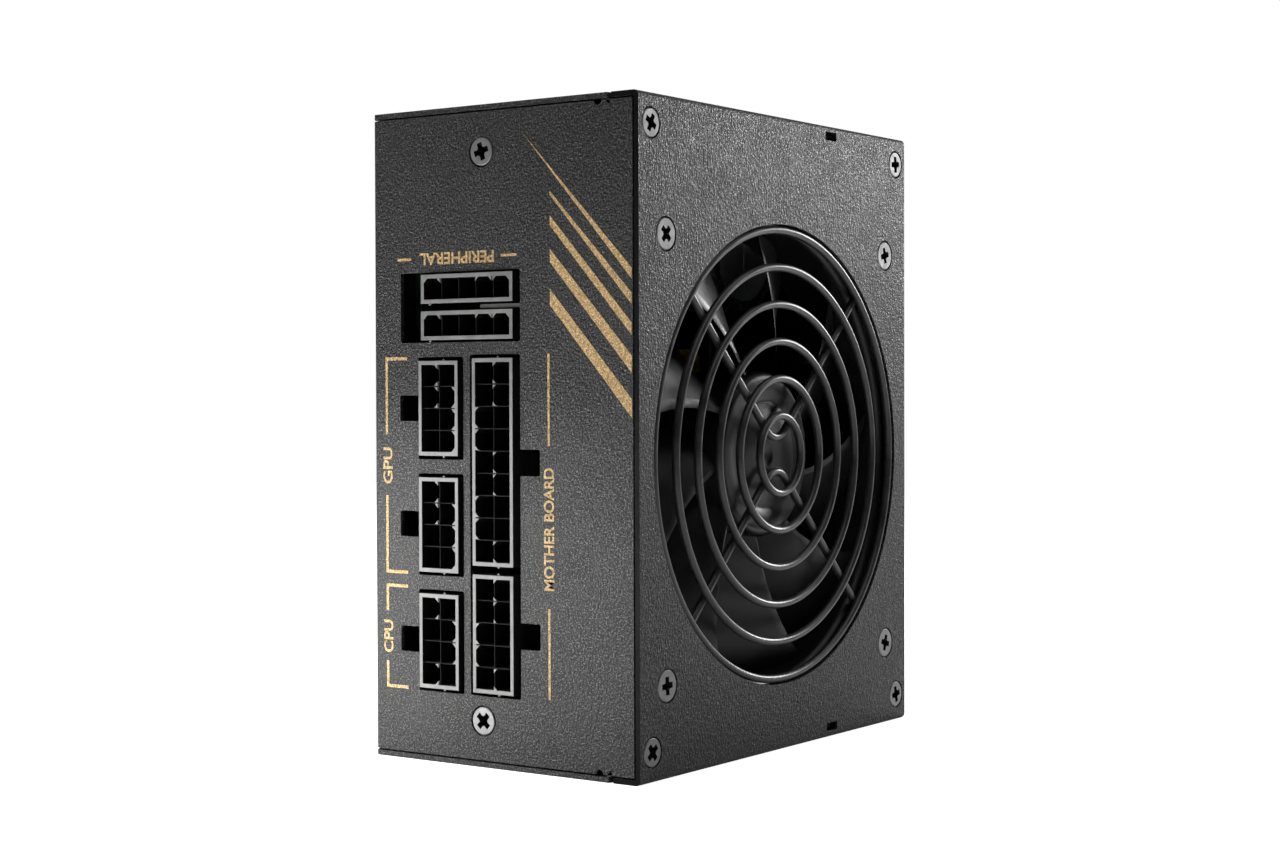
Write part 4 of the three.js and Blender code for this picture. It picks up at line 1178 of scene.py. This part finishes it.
def switchPieces():
    low, high = boxOf("switch_frame")
    rockLow, rockHigh = boxOf("switch_rocker")
    reach = (rockHigh.z - rockLow.z - rocker["ends"]) / 2
    joint = [j for j in frame["joints"] if j["name"] == "switch_rock"][0]
    pivot = toFrame.inverted() @ Vector(joint["pos_m"])
    pivot.z = (rockLow.z + rockHigh.z) / 2
    middle, wide = (low.x + high.x) / 2, rocker["half"] + mains["pocketX"]
    pocket = bmesh.new()
    roundedBox(pocket, (middle - wide, yOut - mains["pocketDepth"], pivot.z - reach - gap),
               (middle + wide, high.y + 2, pivot.z + reach + gap), axisY, 0.6, 3)
    radius, past = rocker["trunnionHole"]
    addRod(pocket, radius, -reach - past, reach + past, axisZ, pivot, 20)
    makePiece("switch_frame_moulding", combined(bezelledBody("switch_frame"), pocket),
              inletPlastic, nodes=["switch_frame"], bevel=0.2)
    half, waist, foot = rocker["half"], rocker["waist"], rocker["foot"]
    rise = rocker["tall"] - waist
    outline = [(half * (1 - k / 8), waist + rise * (1 - k / 8) ** 2) for k in range(17)]
    outline += [(-half, rocker["lower"]), (-rocker["footHalf"], -foot), (rocker["footHalf"], -foot),
                (half, rocker["lower"])]
    tip = Matrix.Translation(pivot) @ Matrix.Rotation(math.radians(-rocker["rest"]), 4, "Z")
    bm, trunnion = bmesh.new(), bmesh.new()
    addSlab(bm, [(x, y, -reach) for x, y in outline], axisZ * 2 * reach)
    radius, past = rocker["trunnion"]
    addRod(trunnion, radius, -reach - past, reach + past, axisZ, (0, 0, 0), 20)
    bm = combined(bm, trunnion, "UNION")
    bmesh.ops.transform(bm, matrix=tip, verts=bm.verts)
    makePiece("switch_rocker_cap", bm, rockerPlastic, body="rocker", nodes=["switch_rocker"],
              bevel=0.3, segments=3)
    # A bar on one half and a ring on the other.
    marks = bmesh.new()
    under, over = rocker["markSink"], rocker["mark"]
    for side in (-1, 1):
        x = side * rocker["markX"]
        lean = math.atan(2 * rise * x / half ** 2)
        mark = bmesh.new()
        if side > 0:
            roundedBox(mark, (-0.28, under, -1.5), (0.28, over, 1.5), axisY, 0.1, 2)
        else:
            addTurned(mark, [(1.05, under), (1.5, under), (1.5, over), (1.05, over)], axisY,
                      (0, 0, 0), 36, closed=True)
        place = Matrix.Translation((x, waist + rise * (x / half) ** 2, 0))
        gather(marks, mark, tip @ place @ Matrix.Rotation(lean, 4, "Z"))
    makePiece("switch_rocker_marks", marks, markPaint, body="rocker")


inletPanelPiece()
inletPiece()
switchPieces()
print("mains side made")

coil = {"turns": 26, "wire": 0.5, "steps": 14, "wound": 0.93}


def coilPieces(node):
    # A ring core with its wire wound round it.
    low, high = boxOf(node)
    middle = (low + high) / 2
    thick = (high.x - low.x) / 2
    radius = (high.y - low.y) / 2 - thick
    core, winding = bmesh.new(), bmesh.new()
    section = ringOf(thick - 2.4 * coil["wire"], 16)
    addTurned(core, [(radius + a, b) for a, b in section], axisX, middle, 48, closed=True)
    makePiece(node + "_core", core, ferrite, smooth=60)
    count = coil["turns"] * coil["steps"]
    lift = thick - coil["wire"]
    path = []
    for k in range(count):
        turned = 2 * math.pi * coil["turns"] * k / count
        about = 2 * math.pi * coil["wound"] * k / count
        out = radius + lift * math.cos(turned)
        path.append(middle + Vector((lift * math.sin(turned), out * math.cos(about),
                                     out * math.sin(about))))
    addWire(winding, path, coil["wire"], sides=2)
    makePiece(node + "_winding", winding, copper, nodes=[node], smooth=60)


def capacitorPieces(node):
    # A sleeved can with its crimped foot, and a scored metal top.
    low, high = boxOf(node)
    middle, radius, height = (low + high) / 2, (high.y - low.y) / 2, high.x - low.x
    rim = radius * 0.09 + 0.25
    inner = radius - rim - 0.85
    foot = (low.x, middle.y, middle.z)
    can = [(0, 0), (radius - 0.5, 0), (radius, 0.5), (radius, 1.6), (radius - rim, 2.2),
           (radius - rim, 2.7), (radius, 3.4), (radius, height - 0.8),
           (radius - 0.25, height - 0.25), (radius - 0.8, height), (radius - rim - 0.6, height),
           (radius - rim - 0.8, height - 0.35), (0, height - 0.35)]
    disc = [(0, height - 0.6), (inner, height - 0.6), (inner, height - 0.2),
            (inner - 0.3, height - 0.1), (0, height - 0.1)]
    bm, lid, score = (bmesh.new() for k in range(3))
    addTurned(bm, can, axisX, foot, 56)
    addTurned(lid, disc, axisX, foot, 48)
    for a, b in ((inner * 0.8, 0.16), (0.16, inner * 0.8)):
        addBox(score, (high.x - 0.25, middle.y - a, middle.z - b),
               (high.x + 1, middle.y + a, middle.z + b))
    makePiece(node + "_sleeve", bm, capacitorSleeve, nodes=[node],
              smooth=35)
    makePiece(node + "_lid", combined(lid, score), aluminium, smooth=35)


def transformerPieces(node):
    # A ferrite core round a taped winding, on a bobbin with pins.
    low, high = boxOf(node)
    depth, width, height = high.y - low.y, high.z - low.z, high.x - low.x
    inset = 0.12 * depth
    y0, y1 = low.y + inset, high.y - inset
    core, slots, winding, bobbin = (bmesh.new() for k in range(4))
    roundedBox(core, (low.x + 4, low.y, low.z + 0.25 * width),
               (high.x, high.y, high.z - 0.25 * width), axisX, 0.5, 2)
    addBox(slots, (low.x + 5, low.y + depth * 0.2, low.z),
           (high.x - 2.2, low.y + depth * 0.8, high.z))
    makePiece(node + "_core", combined(core, slots), ferrite, nodes=[node],
              bevel=0.25)
    roundedBox(winding, (low.x + 6, y0, low.z), (high.x - 2, y1, high.z), axisX, 2.6, 6)
    # Bands where the tape was wound on.
    for k in range(1, 4):
        x = low.x + 6 + (height - 8) * k / 4
        roundedBox(winding, (x - 0.12, y0 - 0.08, low.z), (x + 0.12, y1 + 0.08, high.z), axisX,
                   2.6, 6)
    makePiece(node + "_winding", winding, windingTape, bevel=0.3)
    roundedBox(bobbin, (low.x + 1.5, y0, low.z), (low.x + 6, y1, high.z), axisX, 0.6, 3)
    for k in range(4):
        y = y0 + 1.4 + (depth - 2 * inset - 2.8) * k / 3
        for z in (low.z + 1, high.z - 1):
            addRod(bobbin, 0.45, 0, 2, axisX, (low.x, y, z), 8)
    makePiece(node + "_bobbin", bobbin, inletPlastic, bevel=0.15)


def bevelledCopy(node, material):
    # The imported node's own shape, merged and given soft edges.
    bm = bmesh.new()
    bm.from_mesh(frame["nodes"][node].data)
    bmesh.ops.transform(bm, matrix=toFrame.inverted(), verts=bm.verts)
    bmesh.ops.remove_doubles(bm, verts=bm.verts, dist=1e-3)
    bmesh.ops.dissolve_limit(bm, angle_limit=math.radians(1), verts=bm.verts, edges=bm.edges)
    makePiece(node + "_finished", bm, material, nodes=[node], bevel=0.15)


for node in ("filter_choke", "output_inductor"):
    coilPieces(node)
for node in ("bulk_capacitor", "output_capacitor_1", "output_capacitor_2"):
    capacitorPieces(node)
for node, slot in (("main_transformer", "winding_tape"), ("standby_transformer", "winding_tape"),
                   ("pfc_inductor", "ferrite")):
    transformerPieces(node)
for node, material, slot in (
        ("secondary_heatsink", aluminium, "aluminium"),
        ("primary_heatsink", blackAluminium, "aluminium"),
        ("x_capacitor", windingTape, "winding_tape"),
        ("bridge_rectifier", inletPlastic, "fan_plastic"), ("fuse", steel, "steel"),
        ("main_board", circuitBoard, "circuit_board"),
        ("socket_board", blackAndPaintedShade, "circuit_board"),
        ("control_board", circuitBoard, "circuit_board")):
    bevelledCopy(node, material)
print("inner parts made")

carried = {
    "rotor_magnet": ferrite, "rotor_shaft": steel, "fan_bearing": brass, "fan_stator": copper,
    "fan_circuit": circuitBoard, "insulating_sheet": insulatingFilm, "board_standoff_1": brass,
    "board_standoff_2": brass, "board_standoff_3": brass, "board_standoff_4": brass,
}
for node, material in carried.items():
    data = frame["nodes"][node].data
    data.materials.clear()
    data.materials.append(material)
print("carried nodes finished")
